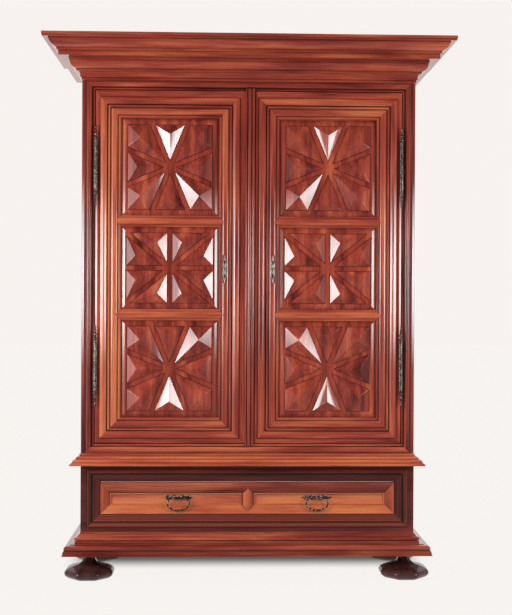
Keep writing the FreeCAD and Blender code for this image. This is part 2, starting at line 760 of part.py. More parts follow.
def hinges():
    """Fiche hinges: the case holds pin and lower knuckle, the door the upper knuckle."""
    y = front(pin_stand)
    case_parts = []
    for side, name in ((-1, "left"), (1, "right")):
        x = side * (half_case - pin_inset)
        door_parts = []
        for level in hinge_levels():
            low = Part.makeCylinder(barrel_radius, knuckle_height, point(x, y, level - knuckle_height))
            pin = Part.makeCylinder(hinge_pin_radius, knuckle_height - leaf_margin, point(x, y, level))
            drop = turned(hanging(finial_shares), barrel_radius, finial_height, x, y, level - knuckle_height)
            case_parts.append(low.fuse([pin, drop, case_leaf(side, level)]))
            lift = level + knuckle_gap
            sleeve = Part.makeCylinder(barrel_radius, knuckle_height - knuckle_gap, point(x, y, lift))
            crown = turned(finial_shares, barrel_radius, finial_height, x, y, level + knuckle_height)
            sleeve = sleeve.fuse([crown, door_leaf(side, level)])
            bore = Part.makeCylinder(hinge_pin_radius + pin_clearance, knuckle_height - leaf_margin / 2,
                                     point(x, y, level))
            door_parts.append(sleeve.cut(bore))
        nodes[name + "_door_hinges"] = door_parts
    nodes["case_hinge_leaves"] = case_parts


def clip(polygon, normal, offset):
    """The part of a flat convex outline on the positive side of a line."""
    kept = []
    count = len(polygon)
    for index in range(count):
        a = polygon[index]
        b = polygon[(index + 1) % count]
        da = a[0] * normal[0] + a[1] * normal[1] - offset
        db = b[0] * normal[0] + b[1] * normal[1] - offset
        if da >= 0:
            kept.append(a)
        if (da >= 0) != (db >= 0):
            share = da / (da - db)
            kept.append((a[0] + (b[0] - a[0]) * share, a[1] + (b[1] - a[1]) * share))
    return kept


def incentre(polygon):
    """Point at one distance from the first three sides of an outline, and that distance."""
    lines = []
    for index in range(3):
        a = polygon[index]
        b = polygon[(index + 1) % len(polygon)]
        length = math.hypot(b[0] - a[0], b[1] - a[1])
        normal = ((a[1] - b[1]) / length, (b[0] - a[0]) / length)
        lines.append((normal[0], normal[1], normal[0] * a[0] + normal[1] * a[1]))
    (a1, b1, c1), (a2, b2, c2) = [tuple(line[k] - lines[0][k] for k in range(3)) for line in lines[1:]]
    det = a1 * b2 - a2 * b1
    x = (c1 * b2 - c2 * b1) / det
    z = (a1 * c2 - a2 * c1) / det
    return x, z, lines[0][0] * x + lines[0][1] * z - lines[0][2]


def diamond(polygon):
    """One raised diamond of a star: a low upright edge on its outline and even slopes to one point."""
    x, z, inner = incentre(polygon)
    low = [point(a, front(panel_plateau - fuse_depth), b) for a, b in polygon]
    edge = [point(a, front(panel_plateau + star_step), b) for a, b in polygon]
    tip = point(x, front(panel_plateau + star_step + inner * star_pitch), z)
    count = len(polygon)
    faces = [Part.Face(Part.makePolygon(low + low[:1]))]
    for index in range(count):
        after = (index + 1) % count
        upright = [low[index], low[after], edge[after], edge[index], low[index]]
        faces.append(Part.Face(Part.makePolygon(upright)))
        faces.append(Part.Face(Part.makePolygon([edge[index], edge[after], tip, edge[index]])))
    solid = Part.Solid(Part.Shell(faces))
    if solid.Volume < 0:
        solid.reverse()
    return solid


def star_panel(x0, x1, z0, z1, border_x, strip_turns):
    """Door panel with a bevelled rim, a flat border and a star of diamonds between flat strips."""
    tongue = box(x0 - tongue_length, x1 + tongue_length, front(tongue_thickness - tongue_back),
                 front(-tongue_back), z0 - tongue_length, z1 + tongue_length)
    bevel_p = panel_plateau - panel_bevel_drop
    board = box(x0, x1, front(-panel_back), front(bevel_p), z0, z1)
    rim = [(x0, z0), (x1, z0), (x1, z1), (x0, z1)]
    inner_x0, inner_x1 = x0 + panel_bevel, x1 - panel_bevel
    inner_z0, inner_z1 = z0 + panel_bevel, z1 - panel_bevel
    crest = [(inner_x0, inner_z0), (inner_x1, inner_z0), (inner_x1, inner_z1), (inner_x0, inner_z1)]
    low = Part.makePolygon([point(x, front(bevel_p), z) for x, z in rim + rim[:1]])
    high = Part.makePolygon([point(x, front(panel_plateau), z) for x, z in crest + crest[:1]])
    field = Part.makeLoft([low, high], True, True)
    centre_x = (x0 + x1) / 2
    centre_z = (z0 + z1) / 2
    half_x = (x1 - x0) / 2 - border_x
    half_z = (z1 - z0) / 2 - star_border
    area = [(-half_x, -half_z), (half_x, -half_z), (half_x, half_z), (-half_x, half_z)]
    rays = sorted(strip_turns + [turn + math.pi for turn in strip_turns])
    rays.append(rays[0] + 2 * math.pi)
    diamonds = []
    for a, c in zip(rays, rays[1:]):
        sector = clip(area, (-math.sin(a), math.cos(a)), star_strip / 2)
        sector = clip(sector, (math.sin(c), -math.cos(c)), star_strip / 2)
        diamonds.append(diamond([(centre_x + x, centre_z + z) for x, z in sector]))
    return board.fuse([tongue, field]).fuse(diamonds).removeSplitter()


def ridge_bar(x0, x1, z0, z1):
    """Ridge moulding of a bar between two panels. Its pointed ends are mitred into the ring."""
    half = (z1 - z0) / 2
    low = profile_face(bar_shares + [(1, 0)], half, ring_rise,
                       lambda u, h: point(x0 - half, front(h), z0 + u))
    low = low.extrude(point(x1 - x0 + half + half, 0, 0))
    high = low.mirror(point(0, 0, (z0 + z1) / 2), point(0, 0, 1))
    plan = [(x0, z0), (x1, z0), (x1 + half, z0 + half), (x1, z1), (x0, z1), (x0 - half, z0 + half)]
    cutter = prism([point(x, front(ring_rise), z) for x, z in plan], point(0, ring_rise, 0))
    return low.fuse(high).common(cutter).removeSplitter(), cutter


def door(name, side):
    """One door leaf. side is -1 for the left and 1 for the right; both are built on the right."""
    outer_x = half_case - post_width - door_gap
    ring_x1 = outer_x - band_hinge
    edge_x = side * meeting_offset + meeting_gap / 2
    ring_x0 = strip_place + band_meeting
    z0 = carcase_z + surround_width + door_gap
    z1 = cornice_z - surround_width - door_gap
    ring_z0 = z0 + band_bottom
    ring_z1 = z1 - band_top
    panel_x0 = ring_x0 + ring_width
    panel_x1 = ring_x1 - ring_width
    panel_z0 = ring_z0 + ring_width
    panel_z1 = ring_z1 - ring_width
    square = (panel_z1 - panel_z0 - 2 * bar_height) * square_panel_share
    back = front(-door_thickness)

    stiles = [box(panel_x1, outer_x, back, front(0), z0, z1), box(edge_x, panel_x0, back, front(0), z0, z1)]
    bands = [box(ring_x1, outer_x, front(0), front(band_rise), z0, z1)]
    bands.append(box(max(strip_place, edge_x), ring_x0, front(0), front(band_rise), z0, z1))
    rails = [
        box(panel_x0, panel_x1, back, front(0), z0, panel_z0).fuse(
            box(ring_x0, ring_x1, front(0), front(band_rise), z0, ring_z0)),
        box(panel_x0, panel_x1, back, front(0), panel_z1, z1).fuse(
            box(ring_x0, ring_x1, front(0), front(band_rise), ring_z1, z1)),
    ]
    stiles = [stile.fuse(band).removeSplitter() for stile, band in zip(stiles, bands)]
    sticks = frame_sticks(ring_shares, ring_width, ring_rise, ring_x0, ring_x1, ring_z0, ring_z1, 0)

    # Bars between the panels
    bar_levels = [panel_z0 + square, panel_z1 - square - bar_height]
    bars = []
    for level in bar_levels:
        ridge, cutter = ridge_bar(panel_x0, panel_x1, level, level + bar_height)
        bars.append(box(panel_x0, panel_x1, back, front(0), level, level + bar_height).fuse(ridge))
        sticks = [stick.cut(cutter) for stick in sticks]
    rails.extend(bars)

    # Tenons of the four rails
    spans = [(z0, panel_z0), (panel_z1, z1)] + [(level, level + bar_height) for level in bar_levels]
    finished = []
    tenon_y0 = front(-(door_thickness - tenon_thickness) / 2)
    tenon_y1 = front(-(door_thickness + tenon_thickness) / 2)
    for rail, (low, high) in zip(rails, spans):
        tenon = box(panel_x0 - tenon_length, panel_x1 + tenon_length, tenon_y0, tenon_y1,
                    low + tenon_shoulder, high - tenon_shoulder)
        rail, stiles = tenoned(rail, tenon, stiles)
        finished.append(rail)
    rails = finished

    # Panels in their grooves
    quarter = math.pi / 4
    eighth = math.pi / 8
    middle_z0 = bar_levels[0] + bar_height
    middle_z1 = bar_levels[1]
    half_x = (panel_x1 - panel_x0) / 2 - star_border_middle
    slope = math.atan2((middle_z1 - middle_z0) / 2 - star_border, half_x)
    star = [eighth + index * quarter for index in range(4)]
    cross = [0, slope, 2 * quarter, math.pi - slope]
    places = {
        "lower": (panel_z0, bar_levels[0], star_border, star),
        "middle": (middle_z0, middle_z1, star_border_middle, cross),
        "upper": (bar_levels[1] + bar_height, panel_z1, star_border, star),
    }
    panels = {}
    for level, (low, high, border_x, turns) in places.items():
        panels[level] = star_panel(panel_x0, panel_x1, low, high, border_x, turns)
        groove = box(panel_x0 - groove_depth, panel_x1 + groove_depth, front(tongue_thickness - tongue_back),
                     front(-tongue_back), low - groove_depth, high + groove_depth)
        stiles = [stile.cut(groove) for stile in stiles]
        rails = [rail.cut(groove) for rail in rails]

    # Hinge leaves, escutcheon and keyhole
    leaves = [door_leaf(1, level) for level in hinge_levels()]
    stiles[0] = stiles[0].cut(leaves)
    plate_x = ring_x0 + escutcheon_place
    plate, seat, keyhole = escutcheon(plate_x)
    sticks = [stick.cut([seat, keyhole]) for stick in sticks]
    stiles[1] = stiles[1].cut(keyhole)

    def turn(shape):
        return mirrored(shape) if side < 0 else shape

    nodes[name + "_hinge_stile"] = [turn(stiles[0])]
    nodes[name + "_meeting_stile"] = [turn(stiles[1])]
    nodes[name + "_door_rails"] = [turn(rail) for rail in rails]
    nodes[name + "_door_moulding"] = [turn(stick) for stick in sticks]
    for level, panel in panels.items():
        nodes[name + "_panel_" + level] = [turn(panel)]
    nodes[name + "_escutcheon"] = [turn(plate)]
    return edge_x, z0, z1


def escutcheon(x):
    """Pierced iron plate, the flat seat that it fills in the ring, and the keyhole behind it."""
    half_w = escutcheon_width / 2
    base_level = lock_level() - escutcheon_height / 2
    right = [(u * half_w, base_level + h * escutcheon_height) for u, h in escutcheon_shares]
    left = [(-u, z) for u, z in reversed(right[1:-1])]
    outline = [point(x + u, front(escutcheon_seat), z) for u, z in right + left]
    plate = prism(outline, point(0, -escutcheon_thickness, 0))
    seat = box(x - half_w, x + half_w, front(escutcheon_seat), front(ring_rise),
               base_level, base_level + escutcheon_height)
    hole_z = lock_level() - keyhole_height / 2
    keyhole = box(x - keyhole_width / 2, x + keyhole_width / 2, front(-door_thickness), front(ring_rise),
                  hole_z, hole_z + keyhole_height)
    return plate.cut(keyhole), seat, keyhole


def centre_strip(edge_x, x0, z0, z1):
    """Strip on the left door's meeting stile that closes the middle. Its ends lap over the surround."""
    strip = profile_face(strip_shares, edge_x - x0, strip_rise,
                         lambda u, h: point(x0 + u, front(h), z0 - strip_lap))
    strip = strip.extrude(point(0, 0, z1 - z0 + 2 * strip_lap))
    for low, high in ((z0 - strip_lap, z0), (z1, z1 + strip_lap)):
        strip = strip.cut(box(x0, edge_x, front(0), front(band_rise), low, high))
    nodes["centre_strip"] = [strip]


def lock_and_bolts(left_edge, right_edge, z0, z1):
    """Rim lock on the right door, its keeper and the two rod bolts on the left door."""
    back = front(-door_thickness)
    middle = lock_level()
    lock = box(right_edge + lock_edge, right_edge + lock_edge + lock_width, back, back + lock_depth,
               middle - lock_height / 2, middle + lock_height / 2)
    bolt_y = back + (lock_depth - bolt_thickness) / 2
    bolt_z = middle - bolt_section / 2
    channel = box(right_edge + lock_edge, right_edge + lock_edge + bolt_length + bolt_clearance,
                  bolt_y - bolt_clearance, bolt_y + bolt_thickness + bolt_clearance,
                  bolt_z - bolt_clearance, bolt_z + bolt_section + bolt_clearance)
    nodes["lock_case"] = [lock.cut(channel)]
    bolt = box(right_edge + lock_edge - bolt_nose, right_edge + lock_edge + bolt_length - bolt_nose,
               bolt_y, bolt_y + bolt_thickness, bolt_z, bolt_z + bolt_section)
    nodes["lock_bolt"] = [bolt]

    keeper_x = left_edge - keeper_edge
    grip = bolt_clearance + keeper_wall
    keeper = box(keeper_x - keeper_length, keeper_x, back, bolt_y + bolt_thickness + grip,
                 bolt_z - grip, bolt_z + bolt_section + grip)
    window = box(keeper_x - keeper_length, keeper_x, bolt_y - bolt_clearance,
                 bolt_y + bolt_thickness + bolt_clearance,
                 bolt_z - bolt_clearance, bolt_z + bolt_section + bolt_clearance)
    staples = [keeper.cut(window)]

    rod_x = left_edge - rod_place
    rod_y = back + rod_stand
    for name, tip, way in (("door_bolt_upper", z1 - rod_tip, -1), ("door_bolt_lower", z0 + rod_tip, 1)):
        rod = Part.makeCylinder(rod_radius, rod_length, point(rod_x, rod_y, tip), point(0, 0, way))
        knob_z = tip + way * rod_length
        knob = Part.makeSphere(rod_knob, point(rod_x, rod_y, knob_z))
        nodes[name] = [rod.fuse(knob)]
        for share in rod_guide_shares:
            low = tip + way * rod_length * share - guide_height / 2
            half = rod_radius + guide_wall
            guide = box(rod_x - half, rod_x + half, back, rod_y + half, low, low + guide_height)
            hole = Part.makeCylinder(rod_radius + rod_clearance, guide_height, point(rod_x, rod_y, low))
            staples.append(guide.cut(hole))
    nodes["left_door_staples"] = staples
    for board in ("cupboard_floor", "cupboard_ceiling"):
        hole = Part.makeCylinder(rod_radius + rod_clearance, top_z, point(rod_x, rod_y, 0))
        nodes[board] = [nodes[board][0].cut(hole)]


nodes = {}
feet_and_blocks()
base()
drawer()
carcase()
hinges()
left_edge, door_z0, door_z1 = door("left", -1)
right_edge = door("right", 1)[0]
centre_strip(-left_edge, -strip_place, door_z0, door_z1)
lock_and_bolts(-left_edge, right_edge, door_z0, door_z1)

os.makedirs("parts", exist_ok=True)
for name, solids in nodes.items():
    shape = solids[0] if len(solids) == 1 else Part.makeCompound(solids)
    shape.exportStep("parts/" + name + ".step")
print(len(nodes), "nodes written")
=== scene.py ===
import math

import bpy
import numpy as np
from mathutils import Matrix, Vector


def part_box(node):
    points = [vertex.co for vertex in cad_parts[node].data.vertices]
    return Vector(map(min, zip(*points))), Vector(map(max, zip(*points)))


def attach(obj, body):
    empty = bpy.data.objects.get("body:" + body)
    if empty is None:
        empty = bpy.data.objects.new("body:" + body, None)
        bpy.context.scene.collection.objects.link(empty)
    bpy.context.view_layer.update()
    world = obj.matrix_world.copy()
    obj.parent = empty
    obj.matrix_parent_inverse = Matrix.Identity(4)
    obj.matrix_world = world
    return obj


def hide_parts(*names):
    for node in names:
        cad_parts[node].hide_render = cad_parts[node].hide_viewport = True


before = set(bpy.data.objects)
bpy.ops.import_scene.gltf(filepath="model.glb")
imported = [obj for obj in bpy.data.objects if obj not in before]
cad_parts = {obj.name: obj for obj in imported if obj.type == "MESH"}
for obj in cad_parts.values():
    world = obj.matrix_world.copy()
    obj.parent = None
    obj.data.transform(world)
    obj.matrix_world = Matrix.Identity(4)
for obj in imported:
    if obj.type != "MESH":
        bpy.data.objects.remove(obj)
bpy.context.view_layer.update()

bl_info = {
    "name": "Two-door cupboard with star panels",
    "version": (1, 0, 0),
    "blender": (4, 5, 0),
    "location": "View3D > Sidebar > Cupboard",
    "description": "Builds the cupboard's mouldings, doors, drawer front, feet, ironwork, finishes and stage",
    "category": "Object",
}

MM = 0.001

# Planes of the cupboard, in metres, taken from the frame
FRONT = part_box("front_post_left")[0][1]
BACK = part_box("rear_posts")[1][1]
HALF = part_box("front_post_right")[1][0]

# Outlines of the mouldings, in shares of each one's width and rise. Two values are a corner, four are the
# middle and the end of an arc.
CORNICE_SHARES = [
    (0.015, 0), (0.015, 0.065), (0.05, 0.065), (0.05, 0.115), (0.065, 0.165, 0.12, 0.20), (0.15, 0.20),
    (0.15, 0.255), (0.18, 0.255), (0.275, 0.325, 0.315, 0.455), (0.335, 0.455), (0.335, 0.505),
    (0.59, 0.505), (0.59, 0.625), (0.64, 0.625), (0.64, 0.68), (0.77, 0.765, 0.84, 0.87), (0.84, 0.885),
    (0.985, 0.885), (0.985, 0.925), (1, 0.925), (1, 1),
]
WAIST_SHARES = [
    (0.50, 0), (0.50, 0.05), (1, 0.05), (1, 0.13), (0.93, 0.22, 0.80, 0.28), (0.76, 0.28), (0.76, 0.33),
    (0.70, 0.47, 0.46, 0.55), (0.42, 0.55), (0.42, 0.60), (0.36, 0.72, 0.14, 0.80), (0.10, 0.80),
    (0.10, 0.95), (0.05, 1),
]
PLINTH_SHARES = [
    (1, 0), (0.97, 0.06), (0.93, 0.21), (0.89, 0.23), (0.87, 0.27), (0.86, 0.40, 0.75, 0.455),
    (0.54, 0.465), (0.54, 0.49), (0.32, 0.50), (0.30, 0.52), (0.30, 0.61), (0.20, 0.61), (0.20, 0.65),
    (0.32, 0.65), (0.32, 0.76), (0.27, 0.78), (0.17, 0.81, 0.10, 0.885), (0.02, 0.94), (0.02, 1),
]
RING_SHARES = [
    (0, 0.14), (0.03, 0.14), (0.03, 0.50), (0.05, 0.74, 0.086, 0.855), (0.133, 0.935, 0.181, 0.995),
    (0.218, 1, 0.248, 0.93), (0.297, 0.785, 0.343, 0.61), (0.35, 0.42), (0.35, 0.26), (0.395, 0.26),
    (0.395, 0.52), (0.475, 0.52), (0.475, 0.34), (0.545, 0.34), (0.555, 0.50), (0.60, 0.60, 0.66, 0.62),
    (0.78, 0.54, 0.83, 0.32), (0.83, 0.22), (0.87, 0.22), (0.87, 0.30), (0.955, 0.30), (0.955, 0.10),
    (1, 0.10),
]
BAR_SHARES = [
    (0, 0.12), (0.06, 0.12), (0.20, 0.16), (0.30, 0.24), (0.30, 0.30), (0.43, 0.30), (0.43, 0.36),
    (0.58, 0.50, 0.86, 0.55), (1, 0.55),
]
DOOR_SURROUND_SHARES = [
    (0, 0.10), (0.10, 0.10), (0.10, 0.45), (0.21, 0.45), (0.21, 0.60), (0.28, 0.95, 0.46, 1),
    (0.66, 0.92, 0.73, 0.45), (0.73, 0.10), (0.84, 0.10), (0.84, 0.28), (1, 0.28),
]
DRAWER_SURROUND_SHARES = [
    (0, 0.25), (0.05, 0.25), (0.05, 0.60), (0.10, 0.92, 0.20, 1), (0.32, 0.92, 0.37, 0.60),
    (0.37, 0.35), (0.50, 0.35), (0.50, 0.75), (0.60, 0.75), (0.62, 0.55), (0.70, 0.28, 0.84, 0.22),
    (0.84, 0.12), (1, 0.12),
]
STRIP_SHARES = [
    (0, 0.62), (0.08, 0.74, 0.16, 0.66), (0.16, 0.46), (0.21, 0.46), (0.22, 0.76),
    (0.42, 1.08, 0.62, 0.76), (0.63, 0.46), (0.68, 0.46), (0.69, 0.68), (0.82, 0.80, 0.95, 0.68),
    (1, 0.50),
]
# Bead round a sunk panel of the drawer front: width and level from the panel's floor
BEAD_SHARES = [(0, 0.70), (0.08, 0.72), (0.50, 1.05, 0.92, 0.72), (1, 0.35), (1, 0)]
# Border of the drawer front, from its outer edge inwards
BORDER_SHARES = [(0, 0.94), (0.07, 0.98), (0.97, 0.42), (1, 0.28), (1, 0)]
# Turned pieces: radius and height
FOOT_SHARES = [
    (0, 0), (0.58, 0), (0.66, 0.006), (0.84, 0.05), (0.97, 0.15), (1, 0.25), (0.93, 0.36), (0.74, 0.45),
    (0.45, 0.52), (0.31, 0.60), (0.235, 0.72), (0.22, 0.86), (0.225, 0.998), (0, 0.998),
]
FINIAL_SHARES = [
    (1, 0), (1, 0.04), (0.60, 0.07), (0.60, 0.11), (1.08, 0.18, 0.60, 0.26), (0.50, 0.30),
    (0.50, 0.34), (0.95, 0.42, 0.42, 0.54), (0.36, 0.58), (0.70, 0.64, 0.36, 0.71), (0.30, 0.76),
    (0.56, 0.84, 0.20, 0.95), (0, 1),
]
# Half of a plate: half width and height from tip to tip, as corners that are then eased
ESCUTCHEON_SHARES = [
    (0, 0), (0.30, 0.03), (0.20, 0.09), (0.62, 0.14), (0.40, 0.20), (0.95, 0.27), (1, 0.40), (0.70, 0.50),
    (1, 0.60), (0.95, 0.72), (0.40, 0.79), (0.66, 0.85), (0.22, 0.91), (0.30, 0.96), (0, 1),
]
PULL_PLATE_SHARES = [
    (0, -1), (0.40, -0.82), (0.90, -0.70), (0.62, -0.56), (0.55, -0.44), (1, -0.36), (1, -0.20),
    (0.62, -0.14), (0.62, 0.14), (1, 0.20), (1, 0.36), (0.55, 0.44), (0.62, 0.56), (0.90, 0.70),
    (0.40, 0.82), (0, 1),
]


# Shapes

def outline(shares, width, rise, steps=10):
    """Outline of a moulding as points: straight to each corner, and along the circle through the last
    point, the middle and the end of an arc."""
    scale = np.array([width, rise])
    points = [np.array(shares[0]) * scale]
    for step in shares[1:]:
        end = np.array(step[-2:]) * scale
        if len(step) == 4:
            a, m = points[-1], np.array(step[:2]) * scale
            sides = 2 * np.array([m - a, end - a])
            centre = np.linalg.solve(sides, [m @ m - a @ a, end @ end - a @ a])
            turns = np.unwrap(np.arctan2(*(np.array([a, m, end]) - centre).T[::-1]))
            turn = np.linspace(turns[0], turns[2], steps + 1)[1:]
            radius = np.linalg.norm(a - centre)
            points.extend(centre + radius * np.column_stack([np.cos(turn), np.sin(turn)]))
        else:
            points.append(end)
    return np.array(points)


def eased(points, reach, steps=3, closed=False):
    """Polyline with eased corners: corner P between neighbours A and B becomes the curve
    (1-t)^2 (P + a) + 2t(1-t) P + t^2 (P + b), where a and b reach a little way towards A and B. Corners
    that turn by less than a fifth of a radian stay as they are."""
    before, after = np.roll(points, 1, axis=0) - points, np.roll(points, -1, axis=0) - points
    long_a, long_b = np.linalg.norm(before, axis=1), np.linalg.norm(after, axis=1)
    way_a, way_b = before / long_a[:, None], after / long_b[:, None]
    bend = np.pi - np.arccos(np.clip((way_a * way_b).sum(axis=1), -1, 1))
    cut = np.minimum(reach, 0.42 * np.minimum(long_a, long_b)) * (bend > 0.2)
    if not closed:
        cut[[0, -1]] = 0
    t = np.linspace(0, 1, steps + 1)[None, :, None]
    a, b = (way_a * cut[:, None])[:, None], (way_b * cut[:, None])[:, None]
    curve = points[:, None] + (1 - t) ** 2 * a + t ** 2 * b
    flat = curve.reshape(-1, points.shape[1])
    kept = np.linalg.norm(flat - np.roll(flat, 1, axis=0), axis=1) > 1e-7
    kept[0] = True
    return flat[kept]


def filled(points, gap=0.0015):
    """The same outline with more points on its straight runs, none further apart than the gap."""
    steps = np.diff(points, axis=0)
    count = np.maximum(np.ceil(np.linalg.norm(steps, axis=1) / gap), 1).astype(int)
    first = np.repeat(np.cumsum(count) - count, count)
    share = (np.arange(count.sum()) - first) / np.repeat(count, count)
    ways = share[:, None] * np.repeat(steps, count, axis=0)
    return np.vstack([np.repeat(points[:-1], count, axis=0) + ways, points[-1:]])


# The share shut off darkens the wood: partly old wax in the quirks, partly painted shade
def hollows(points, way=1, reach=0.016):
    """How far each point of an outline lies in a hollow: the share of the half circle in front of it that
    the outline shuts off. What lies farther off counts less, and beyond the reach not at all. way is 1
    where the open side is on the left of the outline's run, and -1 where it is on the right."""
    along = np.gradient(points, axis=0)
    along /= np.linalg.norm(along, axis=1)[:, None]
    open_side = along[:, ::-1] * (-way, way)
    apart = points[None] - points[:, None]
    far = np.linalg.norm(apart, axis=2)
    turn = np.arctan2((apart * along[:, None]).sum(axis=2), (apart * open_side[:, None]).sum(axis=2))
    weight = np.clip(1 - far / reach, 0, 1)
    order = np.arange(len(points))
    later = order[None] > order[:, None]
    earlier = order[None] < order[:, None]
    half = np.pi / 2
    shut_after = np.where(later, (half - np.clip(turn, 0, half)) * weight, 0).max(axis=1)
    shut_before = np.where(earlier, (half - np.clip(-turn, 0, half)) * weight, 0).max(axis=1)
    return (shut_after + shut_before) / np.pi


def tube(rings, poles=None):
    """Closed surface through rings of points, an array of rows by points by three. The ends are closed by
    two pole points, or without them by strips between the first half of a ring and its second half."""
    rows, around = rings.shape[:2]
    index = np.arange(rows * around).reshape(rows, around)
    after = np.roll(index, -1, axis=1)
    quads = np.stack([index[:-1], after[:-1], after[1:], index[1:]], axis=-1).reshape(-1, 4)
    points = rings.reshape(-1, 3)
    if poles is None:
        j = np.arange(around // 2 - 1)
        cap = np.column_stack([j + 1, j, around - 1 - j, around - 2 - j])
        quads = np.concatenate([quads, cap, cap[:, ::-1] + (rows - 1) * around])
        tris = np.zeros((0, 3), int)
    else:
        points = np.concatenate([points, np.array(poles)])
        low, high = np.full(around, rows * around), np.full(around, rows * around + 1)
        tris = np.concatenate([np.column_stack([after[0], index[0], low]),
                               np.column_stack([index[-1], after[-1], high])])
    return points, quads, tris


def wound_out(points, quads, tris):
    """The same faces, turned round if the volume that they enclose comes out negative."""
    a, b, c, d = (points[quads[:, k]] for k in range(4))
    volume = (a * (np.cross(b, c) + np.cross(c, d))).sum()
    a, b, c = (points[tris[:, k]] for k in range(3))
    volume += (a * np.cross(b, c)).sum()
    return (quads[:, ::-1], tris[:, ::-1]) if volume < 0 else (quads, tris)


def stick(first, last, back_first, back_last):
    """Straight stick between two mitred ends: P(s) = first + s (last - first) for each point of the outline,
    and the same for the flat line behind it."""
    s = np.array([0.0, 1.0])[:, None, None]
    face = first + s * (last - first)
    rear = back_first + s * (back_last - back_first)
    return tube(np.concatenate([face, rear[:, ::-1]], axis=1))


def framed(section, widths, x0, x1, z0, z1, stand, depth, joint=0.00008):
    """Four mitred sticks of one outline round a rectangle on the front: top, bottom, left, right. The
    outline runs inwards from the outer edge, as (across, out); widths are those of the four sticks, and
    each mitre runs from corner to corner. A hairline joint stays open at each mitre."""
    u, h = section[:, 0] / section[:, 0].max(), section[:, 1]
    top, bottom, left, right = widths
    y = stand - h
    back = np.full(len(u), stand + depth)

    def horizontal(z):
        ends = [np.column_stack([x, line, z]) for line in (y, back)
                for x in (x0 + u * left + joint, x1 - u * right - joint)]
        return stick(*ends)

    def upright(x):
        ends = [np.column_stack([x, line, z]) for line in (y, back)
                for z in (z0 + u * bottom + joint, z1 - u * top - joint)]
        return stick(*ends)

    return [(horizontal(z1 - u * top), "x"), (horizontal(z0 + u * bottom), "x"),
            (upright(x0 + u * left), "z"), (upright(x1 - u * right), "z")]


def wrapped(section, z, backing, joint=0.0001):
    """Front, left and right stick of a moulding that wraps round the case. The outline is (projection,
    height); the front stick runs from mitre to mitre, each side stick from its mitre to the back."""
    p, h = section[:, 0], section[:, 1] + z
    flat = np.full(len(p), -backing)
    ends = [np.column_stack([way * (HALF + out - joint), FRONT - out, h])
            for out in (p, flat) for way in (-1, 1)]
    sticks = [(stick(*ends), "x")]
    for way in (-1, 1):
        ends = [np.column_stack([way * (HALF + out), y, h]) for out in (p, flat)
                for y in (FRONT - out + joint, np.full(len(p), BACK))]
        sticks.append((stick(*ends), "y"))
    return sticks


def board(low, high, axis, arris=0.0008):
    """Board between two corners with rounded arrises: a rounded rectangle carried along the grain, drawn in
    at both ends along a quarter circle."""
    k = "xyz".index(axis)
    order = [k, (k + 1) % 3, (k + 2) % 3]
    low, high = np.minimum(low, high)[order], np.maximum(low, high)[order]
    turn = np.linspace(0, np.pi / 2, 4)
    half = (high[1:] - low[1:]) / 2
    middle = (high[1:] + low[1:]) / 2
    quarter = np.column_stack([np.cos(turn), np.sin(turn)])
    corner_signs = np.array([(1, 1), (-1, 1), (-1, -1), (1, -1)])
    turns = [quarter, quarter[::-1], quarter, quarter[::-1]]
    loop = np.concatenate([sign * (half - arris + arris * arc) for sign, arc in zip(corner_signs, turns)])
    ends = np.array([(0, 1), (0.3, 0.3), (1, 0)]) * arris
    along = np.concatenate([low[0] + ends[:, 0], high[0] - ends[::-1, 0]])
    inset = np.concatenate([ends[:, 1], ends[::-1, 1]])
    pulled = loop[None] - np.sign(loop)[None] * inset[:, None, None]
    rings = np.empty((len(along), len(loop), 3))
    rings[..., k] = along[:, None]
    rings[..., order[1:]] = pulled + middle
    poles = np.empty((2, 3))
    poles[:, k] = low[0], high[0]
    poles[:, order[1:]] = middle
    return tube(rings, poles), axis


def turned(radii, levels, place, around=40, sides=0):
    """Turned piece on an upright axis: each point is the radius at a level, swung round. With sides the
    section is a polygon with eased corners: the radius times the 60-norm of the cosines to its flats."""
    turn = np.linspace(0, 2 * np.pi, around, endpoint=False)
    shape = np.ones(around)
    if sides:
        flats = np.arange(sides) * 2 * np.pi / sides
        reach = np.clip(np.cos(turn[:, None] - flats[None]), 0, 1)
        shape = (reach ** 60).sum(axis=1) ** (-1 / 60)
    x, y = place[0], place[1]
    inner = slice(1, -1)
    rings = np.empty((len(radii) - 2, around, 3))
    rings[..., 0] = x + radii[inner, None] * shape * np.cos(turn)
    rings[..., 1] = y + radii[inner, None] * shape * np.sin(turn)
    rings[..., 2] = levels[inner, None]
    return tube(rings, [(x, y, levels[0]), (x, y, levels[-1])])


def rod(path, radius, around=16):
    """Round rod along a path in an upright plane across the front: each ring stands square to the path,
    and its radius changes along it."""
    along = np.gradient(path, axis=0)
    along /= np.linalg.norm(along, axis=1)[:, None]
    out = np.array([0.0, -1.0, 0.0])
    across = np.cross(along, out)
    turn = np.linspace(0, 2 * np.pi, around, endpoint=False)
    rings = path[:, None] + radius[:, None, None] * (
        np.cos(turn)[None, :, None] * across[:, None] + np.sin(turn)[None, :, None] * out)
    ends = [path[0] - along[0] * radius[0] * 0.5, path[-1] + along[-1] * radius[-1] * 0.5]
    return tube(rings, ends)


def narrowed(loop, share, goal):
    """A flat outline once for each share s: P + s (goal - P)."""
    return loop[None] + share[:, None, None] * (goal - loop)[None]


def block(loops, stand, middle, top):
    """Raised block from flat outlines (x, z), each of which stands out from the front by its own value. A
    point over the middle closes it at the top, and one at the first outline's level behind."""
    y = np.broadcast_to((FRONT - stand)[:, None], loops.shape[:2])
    rings = np.stack([loops[..., 0], y, loops[..., 1]], axis=-1)
    return tube(rings, [(middle[0], FRONT - level, middle[1]) for level in (stand[0], top)])


def rectangle(x0, x1, z0, z1):
    """The four corners of a rectangle on the front."""
    return np.array([(x0, z0), (x1, z0), (x1, z1), (x0, z1)])


# Pieces

